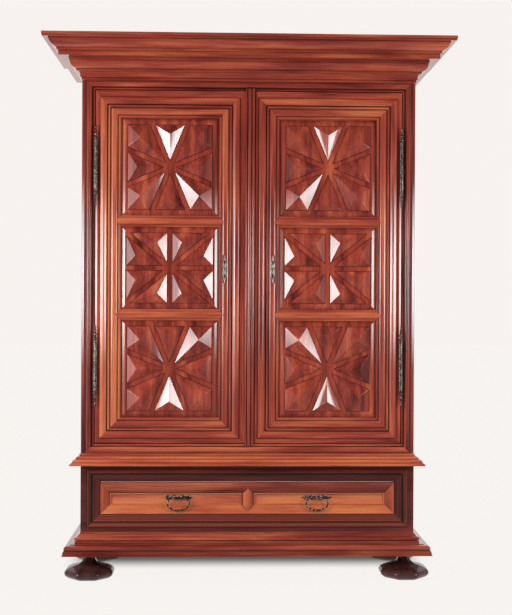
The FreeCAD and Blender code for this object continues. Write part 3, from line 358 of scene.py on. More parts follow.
def grained(surface, axis, seed, side=1, section=None, rows=None, lift=0.0):
    """A surface with its wood's own place: the points seen along the grain axis first, moved by an amount
    that the seed gives, so that no two pieces show the same figure. side -1 mirrors it to the left. How
    hollow it lies, which darkens it with old wax and painted shade, comes for each point of a stick's section
    or for each ring; lift makes its tone lighter, and on some pieces that tone stands for painted light and
    shade."""
    points, quads, tris = surface
    points = points * (side, 1, 1)
    k = "xyz".index(axis)
    draw = np.random.default_rng(seed)
    place = points[:, [k, (k + 1) % 3, (k + 2) % 3]] + draw.uniform(-9, 9, 3)
    tone = np.full(len(points), draw.uniform(-0.7, 0.7) + lift)
    hollow = np.zeros(len(points))
    if section is not None:
        hollow = np.resize(np.concatenate([section, section[::-1]]), len(points))
    if rows is not None:
        rows = np.array(rows)
        hollow = np.append(np.repeat(rows, (len(points) - 2) // len(rows)), rows[[0, -1]])
    return points, quads, tris, place, tone, hollow


def grained_all(pairs, seed, side=1, section=None, lift=0.0):
    """Several pairs of surface and axis, each with the next seed; lift is one value, or one for each."""
    lifts = np.broadcast_to(lift, len(pairs))
    return [grained(*pair, seed + k, side, section, lift=lifts[k]) for k, pair in enumerate(pairs)]


def piece(name, body, surfaces, replaces=(), kind="mahogany", smooth=50):
    """One object at the origin from closed surfaces, with outward faces, the attributes grain, tone and
    hollow, its finish, and the body it rides on. Edges sharper than smooth, in degrees, stay sharp."""
    points, faces, places, tones, depths, start = [], [], [], [], [], 0
    for p, q, t, place, tone, hollow in surfaces:
        q, t = wound_out(p, q, t)
        points.append(p)
        places.append(place)
        tones.append(tone)
        depths.append(hollow)
        faces.extend((q + start).tolist())
        faces.extend((t + start).tolist())
        start += len(p)
    mesh = bpy.data.meshes.new(name)
    mesh.from_pydata(np.concatenate(points), [], faces)
    grain = mesh.attributes.new("grain", "FLOAT_VECTOR", "POINT")
    grain.data.foreach_set("vector", np.concatenate(places).ravel())
    for label, values in (("tone", tones), ("hollow", depths)):
        mesh.attributes.new(label, "FLOAT", "POINT").data.foreach_set("value", np.concatenate(values))
    mesh.shade_smooth()
    mesh.set_sharp_from_angle(angle=math.radians(smooth))
    mesh.materials.append(finish(kind))
    mesh.validate()
    obj = bpy.data.objects.new(name, mesh)
    bpy.context.scene.collection.objects.link(obj)
    weighted = obj.modifiers.new("even shading", "WEIGHTED_NORMAL")
    weighted.keep_sharp = True
    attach(obj, body)
    if replaces:
        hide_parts(*replaces)


def node_frame(name):
    """Lowest and highest corner of a node of the frame as arrays."""
    low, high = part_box(name)
    return np.array(low), np.array(high)


# Finishes

def linear(code):
    """A colour written as sRGB hex, turned to linear values."""
    value = np.array([int(code[i:i + 2], 16) / 255 for i in (1, 3, 5)])
    value = np.where(value <= 0.04045, value / 12.92, ((value + 0.055) / 1.055) ** 2.4)
    return (*value, 1.0)


def add(tree, kind, inputs, stops=(), output=0, **settings):
    """Adds one shader node and gives one of its outputs, or all of them if output is None. Each input,
    picked by number or name, gets a value or a link. Settings are the node's attributes, and stops are the
    places and hex colours of a colour ramp."""
    node = tree.nodes.new("ShaderNode" + kind)
    for key, value in settings.items():
        setattr(node, key, value)
    for key, value in inputs.items():
        if isinstance(value, bpy.types.NodeSocket):
            tree.links.new(value, node.inputs[key])
        else:
            node.inputs[key].default_value = value
    if stops:
        elements = node.color_ramp.elements
        while len(elements) < len(stops):
            elements.new(0.5)
        for element, (place, code) in zip(elements, stops):
            element.position = place
            element.color = linear(code)
    return node.outputs if output is None else node.outputs[output]


def new_finish(name):
    """An empty material and its node tree."""
    material = bpy.data.materials.new(name)
    material.use_nodes = True
    material.node_tree.nodes.clear()
    return material, material.node_tree


GRAIN_TURNS = {"x": (0, 0, 0), "y": (0, 0, -math.pi / 2), "z": (0, math.pi / 2, 0)}


def wood_place(tree, axis):
    """Where a point is in its wood, with the grain along the first value: the piece's own attribute, or
    for a board of the frame the object's coordinates turned to its grain axis. The axis yx is for the
    drawer box: y for its sides and x for its back."""
    if axis == "own":
        return add(tree, "Attribute", {}, output="Vector", attribute_name="grain")
    place = add(tree, "TexCoord", {}, output="Object")
    along = add(tree, "Mapping", {"Vector": place, "Rotation": GRAIN_TURNS[axis[0]]})
    if axis != "yx":
        return along
    # Only the back lies between the sides, in which the bottom board's edges stand 6 mm deep
    groove, play = 6 * MM, 0.5 * MM
    x = add(tree, "SeparateXYZ", {0: place})
    off_middle = add(tree, "Math", {0: x}, operation="ABSOLUTE")
    between = add(tree, "Math", {0: off_middle, 1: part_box("drawer_bottom")[1][0] - groove - play},
                  operation="LESS_THAN")
    return add(tree, "Mix", {"Factor": between, "A": along, "B": place}, output="Result", data_type="VECTOR")


def stretched(tree, place, long, wide, detail, rough=0.5, twist=0.0):
    """Noise drawn out along the grain, whose marks have this length and width in metres."""
    scaled = add(tree, "Mapping", {"Vector": place, "Scale": (1 / long, 1 / wide, 1 / wide)})
    return add(tree, "TexNoise", {"Vector": scaled, "Scale": 1.0, "Detail": detail, "Roughness": rough,
                                  "Distortion": twist})


def wood(name, axis, stops, gloss, coat, coat_rough, figure=(0.45, 0.045)):
    """A wood finish. Broad bands of figure, fine streaks and dark pores run along the grain, old wax and
    painted shade darken the hollows, and the coat, where there is one, lies in a faintly uneven skin over
    them."""
    material, tree = new_finish(name)
    place = wood_place(tree, axis)
    # Figure: bands some 45 mm wide and 450 mm long, as the log's growth leaves them
    bands = stretched(tree, place, *figure, 3.0, twist=0.25)
    # Streaks: 6 mm wide and 220 mm long, coarser than real ones so that they show at this distance
    streaks = stretched(tree, place, 0.22, 0.006, 3.0)
    # Pores: dark dashes 0.8 mm wide and 12 mm long
    pores = stretched(tree, place, 0.012, 0.0008, 2.0)
    band_share, streak_share, tone_step = 0.74, 0.26, 0.045
    mixed = add(tree, "Math", {0: bands, 1: band_share}, operation="MULTIPLY")
    mixed = add(tree, "Math", {0: streaks, 1: streak_share, 2: mixed}, operation="MULTIPLY_ADD")
    if axis == "own":
        tone = add(tree, "Attribute", {}, output="Fac", attribute_name="tone")
        mixed = add(tree, "Math", {0: tone, 1: tone_step, 2: mixed}, operation="MULTIPLY_ADD")
    colour = add(tree, "ValToRGB", {0: mixed}, stops)
    pore_level, pore_depth, pore_colour = 0.40, 0.25, "#2a0d08"
    pored = add(tree, "Math", {0: pores, 1: pore_level}, operation="LESS_THAN")
    pored = add(tree, "Math", {0: pored, 1: pore_depth}, operation="MULTIPLY")
    colour = add(tree, "Mix", {"Factor": pored, "A": colour, "B": linear(pore_colour)}, output="Result",
                 data_type="RGBA")
    if axis == "own":
        # Wax and dust of two centuries lie in the quirks, and painted shade darkens each hollow by how shut
        # in it is, nearly to black
        wax_and_shade_gain, wax_and_shade_most, wax_and_shade_colour = 1.9, 0.92, "#160604"
        wax_and_shade = add(tree, "Attribute", {}, output="Fac", attribute_name="hollow")
        wax_and_shade = add(tree, "Math", {0: wax_and_shade, 1: wax_and_shade_gain}, operation="MULTIPLY")
        wax_and_shade = add(tree, "Math", {0: wax_and_shade, 1: wax_and_shade_most}, operation="MINIMUM")
        colour = add(tree, "Mix", {"Factor": wax_and_shade, "A": colour, "B": linear(wax_and_shade_colour)}, output="Result",
                     data_type="RGBA")
    # The skin of polish: low waves 90 mm long, so that reflected edges wander a little
    wave = stretched(tree, place, 0.09, 0.03, 2.0, 0.4)
    skin = add(tree, "Bump", {"Height": wave, "Strength": 0.06, "Distance": 0.0006})
    # Streaks and pores stand in relief under it, 0.3 mm at most
    relief = add(tree, "Math", {0: pores, 1: 0.6}, operation="MULTIPLY")
    relief = add(tree, "Math", {0: streaks, 1: 0.4, 2: relief}, operation="MULTIPLY_ADD")
    normal = add(tree, "Bump", {"Height": relief, "Normal": skin, "Strength": 0.2, "Distance": 0.0003})
    rough = add(tree, "Math", {0: streaks, 1: 0.12, 2: gloss}, operation="MULTIPLY_ADD")
    inputs = {"Base Color": colour, "Roughness": rough, "Normal": normal, "IOR": 1.5,
              "Specular IOR Level": 0.15, "Coat Weight": coat, "Coat Roughness": coat_rough, "Coat IOR": 1.52}
    if coat:
        inputs["Coat Normal"] = skin
    add(tree, "OutputMaterial", {0: add(tree, "BsdfPrincipled", inputs)}, output=None)
    return material


def polished_mahogany(axis):
    """French-polished mahogany: shellac over stained mahogany gives a deep red-brown with a wet gloss."""
    colours = bpy.context.scene.cupboard_colours
    stops = [(0.28, colours.mahogany_dark), (0.44, colours.mahogany_mid), (0.57, colours.mahogany_light),
             (0.70, colours.mahogany_bright), (0.86, colours.mahogany_gold)]
    return wood("polished mahogany " + axis, axis, stops, 0.24, 1.0, 0.05)


def stained_mahogany(axis):
    """Mahogany of the base frame under an older, darker stain: a purplish brown with the same gloss."""
    stops = [(0.26, "#34120f"), (0.44, "#581f1a"), (0.58, "#6c2a22"), (0.76, "#863b2b")]
    return wood("stained mahogany " + axis, axis, stops, 0.24, 1.0, 0.05)


def dark_mahogany(axis):
    """Dark-stained turned mahogany: the feet are stained nearly black and keep a purplish gloss."""
    stops = [(0.30, "#2a1516"), (0.50, "#4a2827"), (0.75, "#6b3934")]
    return wood("dark turned mahogany " + axis, axis, stops, 0.30, 0.8, 0.14)


def inner_oak(axis):
    """Unpolished oak of the inside and the back: a dry mid-brown with open grain and no gloss."""
    stops = [(0.34, "#74492f"), (0.50, "#976642"), (0.66, "#b4865e")]
    return wood("dry oak " + axis, axis, stops, 0.6, 0.0, 0.1, figure=(0.5, 0.03))


def wrought_iron(name, colours, relief):
    """Forged and waxed iron: hammered skin, brighter where hands rub it, brown where rust once sat. The
    relief is the depth of its marks."""
    material, tree = new_finish(name)
    place = add(tree, "TexCoord", {}, output="Object")
    # Hammer marks about 6 mm wide, a fine scale of 1 mm and spots of old rust of 17 mm, as marks a metre
    marks, scale, rust = (add(tree, "TexNoise", {"Vector": place, "Scale": count, "Detail": detail})
                          for count, detail in ((160.0, 2.0), (900.0, 3.0), (60.0, 4.0)))
    colour = add(tree, "ValToRGB", {0: marks}, list(zip((0.35, 0.50, 0.65), colours)))
    rust_level, rust_depth, rust_colour = 0.58, 0.45, "#4a2f22"
    brown = add(tree, "Math", {0: rust, 1: rust_level}, operation="GREATER_THAN")
    brown = add(tree, "Math", {0: brown, 1: rust_depth}, operation="MULTIPLY")
    colour = add(tree, "Mix", {"Factor": brown, "A": colour, "B": linear(rust_colour)}, output="Result",
                 data_type="RGBA")
    height = add(tree, "Math", {0: scale, 1: 0.35, 2: marks}, operation="MULTIPLY_ADD")
    bump = add(tree, "Bump", {"Height": height, "Strength": 1.0, "Distance": relief})
    rough = add(tree, "Math", {0: scale, 1: 0.25, 2: 0.2}, operation="MULTIPLY_ADD")
    shader = add(tree, "BsdfPrincipled", {"Base Color": colour, "Roughness": rough, "Normal": bump,
                                          "Metallic": 1.0})
    add(tree, "OutputMaterial", {0: shader}, output=None)
    return material


def turned_iron(_):
    """Turned iron of the hinges, filed and burnished: a dark grey with a soft gloss and little relief."""
    return wrought_iron("burnished turned iron", ("#3a3531", "#6b645d", "#a59c92"), 0.0006)


def chiselled_iron(_):
    """Chiselled lock plates: the cuts break up the light, so the plate sparkles from white to black."""
    return wrought_iron("chiselled iron", ("#94897b", "#c4b9aa", "#efe6d9"), 0.0030)


def blackened_iron(_):
    """Pulls blackened in oil on the forge: nearly black, with small bright facets where the skin is worn."""
    return wrought_iron("blackened wrought iron", ("#141211", "#3b3633", "#d2cbc4"), 0.0024)


def pale_ground():
    """Seamless studio paper: matt, with a faint tooth. What the camera and mirrors see of it is lifted to the
    pale tone of the room behind. Its real shadows stay faintly, and a painted shadow, set by place, stands
    for the shade under the rear half of the case, where no lamp reaches."""
    material, tree = new_finish("pale studio paper")
    place = add(tree, "TexCoord", {}, output="Object")
    tooth = add(tree, "TexNoise", {"Vector": place, "Scale": 400.0, "Detail": 3.0})
    fibre = add(tree, "ValToRGB", {0: tooth}, [(0.2, "#767371"), (0.8, "#7d7a78")])
    paper = add(tree, "BsdfPrincipled", {"Base Color": fibre, "Roughness": 0.9, "Specular IOR Level": 0.1})
    x, y, _ = add(tree, "SeparateXYZ", {0: place}, output=None)
    aside = add(tree, "Math", {0: x}, operation="ABSOLUTE")
    # The painted shadow grows from the first place to the second, in metres, from each side, the front and
    # the back
    shade = 0.88
    for source, none, full in ((aside, 0.94, 0.78), (y, 0.0, 0.27), (y, 0.45, 0.33)):
        fade = add(tree, "MapRange", {"Value": source, "From Min": none, "From Max": full},
                   interpolation_type="SMOOTHSTEP")
        shade = add(tree, "Math", {0: fade, 1: shade}, operation="MULTIPLY")
    # The glow is dimmed where the shadow is painted
    left_bright = add(tree, "Math", {0: 1.0, 1: shade}, operation="SUBTRACT")
    glow = add(tree, "ValToRGB", {0: tooth}, [(0.2, "#fffaf7"), (0.8, "#fffdfa")])
    glow = add(tree, "Emission", {"Color": glow, "Strength": left_bright})
    light = add(tree, "LightPath", {}, output=None)
    mirrored = add(tree, "Math", {0: light["Is Glossy Ray"], 1: light["Is Transmission Ray"]},
                   operation="MAXIMUM")
    # Mirrors see the paper in front of the cupboard dimmer than behind it, as they see the room
    pale = add(tree, "MapRange", {"Value": y, "From Min": -0.9, "From Max": 0.1, "To Min": 0.06,
                                  "To Max": 1.0})
    mirrored = add(tree, "Math", {0: mirrored, 1: pale}, operation="MULTIPLY")
    seen = add(tree, "Math", {0: light["Is Camera Ray"], 1: mirrored}, operation="MAXIMUM")
    lift = add(tree, "Math", {0: seen, 1: 0.91}, operation="MULTIPLY")
    mix = add(tree, "MixShader", {0: lift, 1: paper, 2: glow})
    add(tree, "OutputMaterial", {0: mix}, output=None)
    return material


FINISHES = {"mahogany": polished_mahogany, "stained": stained_mahogany, "dark": dark_mahogany,
            "oak": inner_oak, "iron": turned_iron, "chiselled": chiselled_iron, "blackened": blackened_iron}


MADE = {}


def finish(kind, axis="own"):
    """The finish of a kind and grain axis, made once."""
    if (kind, axis) not in MADE:
        MADE[kind, axis] = FINISHES[kind](axis)
    return MADE[kind, axis]


# What each board and fitting of the frame is made of, and which way its grain runs
FRAME_FINISHES = {
    "corner_blocks": ("oak", "z"), "base_floor": ("oak", "x"), "base_sides": ("mahogany", "y"),
    "base_back": ("oak", "x"), "base_front_frame": ("stained", "x"), "drawer_runners": ("oak", "y"),
    "base_top": ("oak", "x"), "rear_posts": ("mahogany", "z"), "carcase_rails": ("mahogany", "x"),
    "side_rails": ("mahogany", "y"), "side_panels": ("mahogany", "z"), "back_boards": ("oak", "z"),
    "cupboard_floor": ("oak", "x"), "cupboard_ceiling": ("oak", "x"), "shelves": ("oak", "x"),
    "shelf_cleats": ("oak", "y"), "cornice_frame": ("oak", "x"), "drawer_box": ("oak", "yx"),
    "drawer_bottom": ("oak", "x"),
    "left_door_staples": ("iron", "own"), "door_bolt_upper": ("iron", "own"),
    "door_bolt_lower": ("iron", "own"), "lock_case": ("iron", "own"), "lock_bolt": ("iron", "own"),
}


# Sizes and colours that a user would change

def length(name, description, default):
    """A length in metres for a group of sizes."""
    return bpy.props.FloatProperty(name=name, description=description, default=default, min=0.0,
                                   unit="LENGTH", precision=4)


class CupboardSizes(bpy.types.PropertyGroup):
    """Sizes of the pieces that are dressed here, from the frame or from the real cupboard."""

    arris: length("Arris", "How far the edges of a moulding are rounded", 0.8 * MM)
    post_splay: length("Post splay", "Width of the splayed outer edge of the front posts", 13 * MM)
    band_rise: length("Band rise", "How far the flat band round a door stands out", 6 * MM)
    ring_rise: length("Ring rise", "How far the ring moulding of a door stands out", 20 * MM)
    ring_width: length("Ring width", "Width of the ring moulding of a door", 105 * MM)
    panel_level: length("Panel level", "How far the flat of a star panel stands out", 2 * MM)
    panel_bevel: length("Panel bevel", "Width of the bevel round a star panel", 18 * MM)
    panel_drop: length("Bevel drop", "Depth of that bevel", 7.6 * MM)
    star_border: length("Star border", "Flat border between a panel's edge and its star", 30 * MM)
    star_border_middle: length("Middle border", "The same at the sides of a middle panel", 25 * MM)
    star_strip: length("Star strip", "Width of the flat strips between two diamonds", 26 * MM)
    star_step: length("Star step", "Upright edge of a diamond", 3 * MM)


class CupboardColours(bpy.types.PropertyGroup):
    """Colours of the polished wood, as sRGB hex."""

    mahogany_dark: bpy.props.StringProperty(
        name="Dark streak", description="Darkest streaks of the mahogany", default="#4a1816")
    mahogany_mid: bpy.props.StringProperty(
        name="Body", description="Body colour of the mahogany", default="#863228")
    mahogany_light: bpy.props.StringProperty(
        name="Light streak", description="Lighter bands of the mahogany", default="#a94634")
    mahogany_bright: bpy.props.StringProperty(
        name="Bright streak", description="Bright bands of the mahogany", default="#ca6645")
    # Beside pale bands in the wood, this stop paints highlights on the sticks whose tone is lifted most
    mahogany_gold: bpy.props.StringProperty(
        name="Golden streak", description="Bands of pale sapwood in the mahogany", default="#de804f")


class CupboardStage(bpy.types.PropertyGroup):
    """Camera and lamps."""

    camera_place: bpy.props.FloatVectorProperty(
        name="Camera place", description="Where the camera stands", subtype="TRANSLATION", unit="LENGTH",
        default=(-0.1258, -5.5764, 1.3421))
    camera_turns: bpy.props.FloatVectorProperty(
        name="Camera turns", description="Yaw, pitch and roll of the camera, in degrees",
        default=(-1.7227, -0.2731, 0.2676))
    lens: bpy.props.FloatProperty(
        name="Lens", description="Focal length in millimetres on a 36 mm long side", default=65.135)
    lamp_angles: bpy.props.FloatVectorProperty(
        name="Lamp angles", size=2, default=(49.5, 51.0),
        description="Angles of the left and right softbox from straight ahead, in degrees")
    lamp_distance: length("Lamp distance", "Distance of the softboxes from the middle of the doors", 3.2)
    lamp_height: length("Lamp height", "Height of the middle of the softboxes", 1.55)
    lamp_strength: bpy.props.FloatProperty(
        name="Lamp strength", description="Radiance of a softbox, where 1 shows as white", default=18.0)


def scene_sizes():
    """The sizes that the user has set."""
    return bpy.context.scene.cupboard_sizes


# Operators, one for each piece or group of like pieces

class CUPBOARD_OT_frame_finishes(bpy.types.Operator):
    """Gives every board and fitting of the frame its finish"""

    bl_idname = "cupboard.frame_finishes"
    bl_label = "Finish the frame"

    def execute(self, context):
        for name, (kind, axis) in FRAME_FINISHES.items():
            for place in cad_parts[name].material_slots:
                place.material = finish(kind, axis)
        return {"FINISHED"}


class CUPBOARD_OT_case_mouldings(bpy.types.Operator):
    """Builds the cornice, waist and plinth mouldings, which wrap round the case"""

    bl_idname = "cupboard.case_mouldings"
    bl_label = "Cornice, waist and plinth"

    def execute(self, context):
        arris = scene_sizes().arris
        # The last values are how deep a stick goes behind the case's face, in millimetres, and its tone
        for seed, (node, shares, backing, lift) in enumerate((
                ("cornice_moulding", CORNICE_SHARES, 22, 2.2), ("waist_moulding", WAIST_SHARES, 22, 5),
                ("plinth_moulding", PLINTH_SHARES, 12, 1))):
            low, high = node_frame(node)
            section = filled(eased(outline(shares, FRONT - low[1], high[2] - low[2]), arris))
            depth = hollows(section, -1)
            if node == "plinth_moulding":
                # The plinth is darker all over, and darker still on its lowest part
                depth += 0.05 + 0.16 * (section[:, 1] < 0.3 * (high[2] - low[2]))
            sticks = wrapped(section, low[2], backing * MM)
            piece(node.replace("_moulding", "_sticks"), "case",
                  grained_all(sticks, 10 * seed, section=depth, lift=lift), [node])
        return {"FINISHED"}


class CUPBOARD_OT_surrounds(bpy.types.Operator):
    """Builds the mitred surrounds of the doors and of the drawer"""

    bl_idname = "cupboard.surrounds"
    bl_label = "Surrounds"

    def execute(self, context):
        arris = scene_sizes().arris
        # The last values are the tones of the top, bottom, left and right stick. Besides the wood's tone they
        # paint
        # light and shade: the bottom sticks are lighter, as if lit from above, and the drawer surround's top
        # stick is darker, as painted shade under the waist
        for seed, (node, shares, width, kind, lifts) in enumerate((
                ("door_surround", DOOR_SURROUND_SHARES, 46, "mahogany", (0.3, 2.2, -1.5, -1.5)),
                ("drawer_surround", DRAWER_SURROUND_SHARES, 62, "stained", (-2.5, 8, -0.5, -0.5)))):
            low, high = node_frame(node)
            section = filled(eased(outline(shares, width * MM, FRONT - low[1]), arris))
            sticks = framed(section, [width * MM] * 4, low[0], high[0], low[2], high[2], FRONT, 0)
            piece(node + "_sticks", "case",
                  grained_all(sticks, 40 + 10 * seed, section=hollows(section), lift=lifts), [node], kind)
        return {"FINISHED"}


def door_places(side):
    """Planes of one door, seen as if it were the right one: edges, ring, panels and bars."""
    name = "left" if side < 0 else "right"
    width = scene_sizes().ring_width
    tongue = 8 * MM
    low, high = node_frame(name + "_door_moulding")
    x0, x1 = sorted((side * low[0], side * high[0]))
    stile_low, stile_high = node_frame(name + "_hinge_stile")
    meet_low, meet_high = node_frame(name + "_meeting_stile")
    panels = []
    for level in ("lower", "middle", "upper"):
        # A panel's box holds its tongues all round, which stand in the grooves
        p_low, p_high = node_frame(name + "_panel_" + level)
        panels.append((level, p_low[2] + tongue, p_high[2] - tongue))
    return {
        "name": name, "body": name + "_door", "ring": (x0, x1, low[2], high[2]),
        "panel_x": (x0 + width, x1 - width), "panels": panels,
        "outer": max(abs(stile_low[0]), abs(stile_high[0])),
        "inner": min(side * meet_low[0], side * meet_high[0]),
        "z": (stile_low[2], stile_high[2]), "back": stile_high[1],
        "bars": [(panels[0][2], panels[1][1]), (panels[1][2], panels[2][1])],
    }


def ring_upright(section, depth, place, meeting, seat):
    """The upright stick of a ring on the meeting or the hinge side. Beside a bar the inner edge steps back
    along the two mitres of the bar's point: across = min(across, width - half bar + distance from the
    bar's middle). On the meeting side the face is cut back where the lock plate lies: its seat is from and
    to across, from and to upright, and how far it stands out."""
    x0, x1, z0, z1 = place["ring"]
    width = x1 - place["panel_x"][1]
    step = 0.1 * MM
    u, h = section[:, 0], section[:, 1]
    if meeting:
        near, far, under, over, level = seat
        marks = np.array([near - step, near, far, far + step])
        order = np.argsort(np.concatenate([u, marks]), kind="stable")
        depth = np.concatenate([depth, np.interp(marks, u, depth)])[order]
        u, h = np.concatenate([u, marks])[order], np.concatenate([h, np.interp(marks, u, h)])[order]
    span = z1 - z0 - 2 * width
    levels = [np.linspace(low, high, 55) for low, high in place["bars"]]
    if meeting:
        levels.append(np.array([under, under + step, over - step, over]))
    s = np.unique(np.append((np.concatenate(levels) - z0 - width) / span, (0.0, 1.0)))[:, None]
    z = z0 + width + span * s
    most = np.full_like(z, width)
    for low, high in place["bars"]:
        half = (high - low) / 2
        off_middle = np.abs(z - (low + high) / 2)
        most = np.minimum(most, width - half + off_middle + np.where(off_middle > half, width, 0))
    across = np.minimum(u[None], most)
    rise = np.minimum(h[None], np.where(u[None] > most, np.interp(most, u, h), np.inf))
    if meeting:
        held = (z > under) & (z < over) & (across >= near) & (across <= far)
        rise = np.where(held, np.minimum(rise, level), rise)
    # Both ends are mitred, and between them the points lie level
    along = (z0 + u)[None] + ((z1 - u) - (z0 + u))[None] * s
    along = np.where((s > 0) & (s < 1), z, along)
    x = x0 + across if meeting else x1 - across
    face = np.stack([x, FRONT - rise, along], axis=-1)
    rear = np.stack([x, np.full_like(x, FRONT), along], axis=-1)
    return tube(np.concatenate([face, rear[:, ::-1]], axis=1)), "z", depth


class CUPBOARD_OT_posts(bpy.types.Operator):
    """Builds the two front posts, whose outer edges are splayed"""

    bl_idname = "cupboard.posts"
    bl_label = "Front posts"

    def execute(self, context):
        splay = scene_sizes().post_splay
        for side, name in ((-1, "left"), (1, "right")):
            low, high = node_frame("front_post_" + name)
            inner, outer = sorted((abs(low[0]), abs(high[0])))
            loop = np.array([(inner, low[1]), (outer - splay, low[1]), (outer, low[1] + 0.28 * splay),
                             (outer, high[1]), (inner, high[1])])
            loop = eased(loop, 1.2 * MM, closed=True)
            levels = (low[2], high[2])
            rings = np.stack([np.column_stack([loop, np.full(len(loop), z)]) for z in levels])
            post = tube(rings, [(*loop.mean(axis=0), z) for z in levels])
            piece("front_post_" + name + "_splayed", "case", [grained(post, "z", 30 + side, side, lift=-2)],
                  ["front_post_" + name], smooth=15)
        return {"FINISHED"}


class CUPBOARD_OT_door_frames(bpy.types.Operator):
    """Builds the stiles, rails, bands, ring mouldings and ridge bars of both doors"""

    bl_idname = "cupboard.door_frames"
    bl_label = "Door frames"

    def execute(self, context):
        sizes = scene_sizes()
        width, rise = sizes.ring_width, sizes.band_rise
        # How far the rails lie behind the stiles, and how far the band reaches out from the ring on the
        # meeting side
        set_back, overlap = 0.1 * MM, 27 * MM
        for side, seed in ((-1, 100), (1, 200)):
            place = door_places(side)
            name, body = place["name"], place["body"]
            (x0, x1, z0, z1), (p0, p1) = place["ring"], place["panel_x"]
            low, high, back = *place["z"], place["back"]
            inner, outer = place["inner"], place["outer"]

            # Stiles and rails: flat boards, and over them a mitred band round the ring
            stiles = [board((inner, FRONT, low), (p0, back, high), "z"),
                      board((p1, FRONT, low), (outer, back, high), "z")]
            rails = [board((p0, FRONT + set_back, low), (p1, back, z0 + width), "x"),
                     board((p0, FRONT + set_back, z1 - width), (p1, back, high), "x")]
            edge = max(x0 - overlap, inner)
            # The band's outer edge is splayed on three sides, and flat beside the centre strip
            widths = [high - z1, z0 - low, x0 - edge, outer - x1]
            bands = []
            for corners in ([(0, 0), (0, rise * 0.55), (0.5, rise), (1, rise), (1, 0)],
                            [(0, 0), (0, rise), (1, rise), (1, 0)]):
                band = eased(np.array(corners) * (20 * MM, 1), sizes.arris)
                bands.append(framed(band, widths, edge, outer, low, high, FRONT, 0.5 * MM))
            bands = bands[0][:2] + bands[1][2:3] + bands[0][3:]
            piece(name + "_stiles", body, grained_all(stiles, seed, side),
                  [name + "_hinge_stile", name + "_meeting_stile"])
            piece(name + "_bands", body, grained_all(bands, seed + 10, side, lift=0.5))

            # Ridge bars: two mirrored halves that end in a point, mitred into the ring
            bars = []
            for k, (bar_low, bar_high) in enumerate(place["bars"]):
                half = (bar_high - bar_low) / 2
                section = filled(eased(outline(BAR_SHARES, half, sizes.ring_rise), sizes.arris))
                section = np.vstack([section, section[-2::-1] * (-1, 1) + (2 * half, 0)])
                u, h = section[:, 0], section[:, 1]
                point = half - np.abs(u - half)
                ends = [np.column_stack([x, line, bar_low + u])
                        for line in (FRONT - h, np.full_like(h, FRONT)) for x in (p0 - point, p1 + point)]
                bars.append(grained(stick(*ends), "x", seed + 26 + k, side, hollows(section), lift=3.2))
                rails.append(board((p0, FRONT, bar_low), (p1, back, bar_high), "x"))
            piece(name + "_rails", body, grained_all(rails, seed + 20, side) + bars, [name + "_door_rails"])

            # Ring moulding: top, bottom, meeting side and hinge side, each with its tone. The left door's
            # hinge side is lightest, as painted light from the left lamp
            section = filled(eased(outline(RING_SHARES, width, sizes.ring_rise), sizes.arris))
            depth = hollows(section)
            lying = [(*s, depth) for s in framed(section, [width] * 4, x0, x1, z0, z1, FRONT, 0)[:2]]
            plate_low, plate_high = node_frame(name + "_escutcheon")
            near, far = sorted((side * plate_low[0] - x0, side * plate_high[0] - x0))
            seat = (near, far, plate_low[2], plate_high[2], FRONT - plate_high[1])
            upright = [ring_upright(section, depth, place, meeting, seat) for meeting in (True, False)]
            lifts = (2.4, 2.4, 1, 4.5 if side < 0 else 2)
            piece(name + "_ring", body,
                  [grained(surface, axis, seed + 30 + k, side, dark, lift=lift)
                   for k, ((surface, axis, dark), lift) in enumerate(zip(lying + upright, lifts))],
                  [name + "_door_moulding"])
        return {"FINISHED"}


def beyond(outline_points, turn, offset):
    """The part of a flat outline on the positive side of a line through the middle, at an angle and offset:
    corners beyond it stay, and a side that crosses it is cut where its distance is nought."""
    distance = outline_points @ (-math.sin(turn), math.cos(turn)) - offset
    after, d_after = np.roll(outline_points, -1, axis=0), np.roll(distance, -1)
    crosses = (distance >= 0) != (d_after >= 0)
    share = np.where(crosses, distance / np.where(crosses, distance - d_after, 1), 0)[:, None]
    pairs = np.stack([outline_points, outline_points + share * (after - outline_points)], axis=1)
    kept = np.stack([distance >= 0, crosses], axis=1)
    return pairs[kept]


def incentre(corners):
    """The point at one distance from the first three sides of an outline, and that distance."""
    a, b = corners[:3], np.roll(corners, -1, axis=0)[:3]
    normal = (b - a)[:, ::-1] * (-1, 1) / np.linalg.norm(b - a, axis=1)[:, None]
    return np.linalg.solve(np.column_stack([normal, -np.ones(3)]), (normal * a).sum(axis=1))


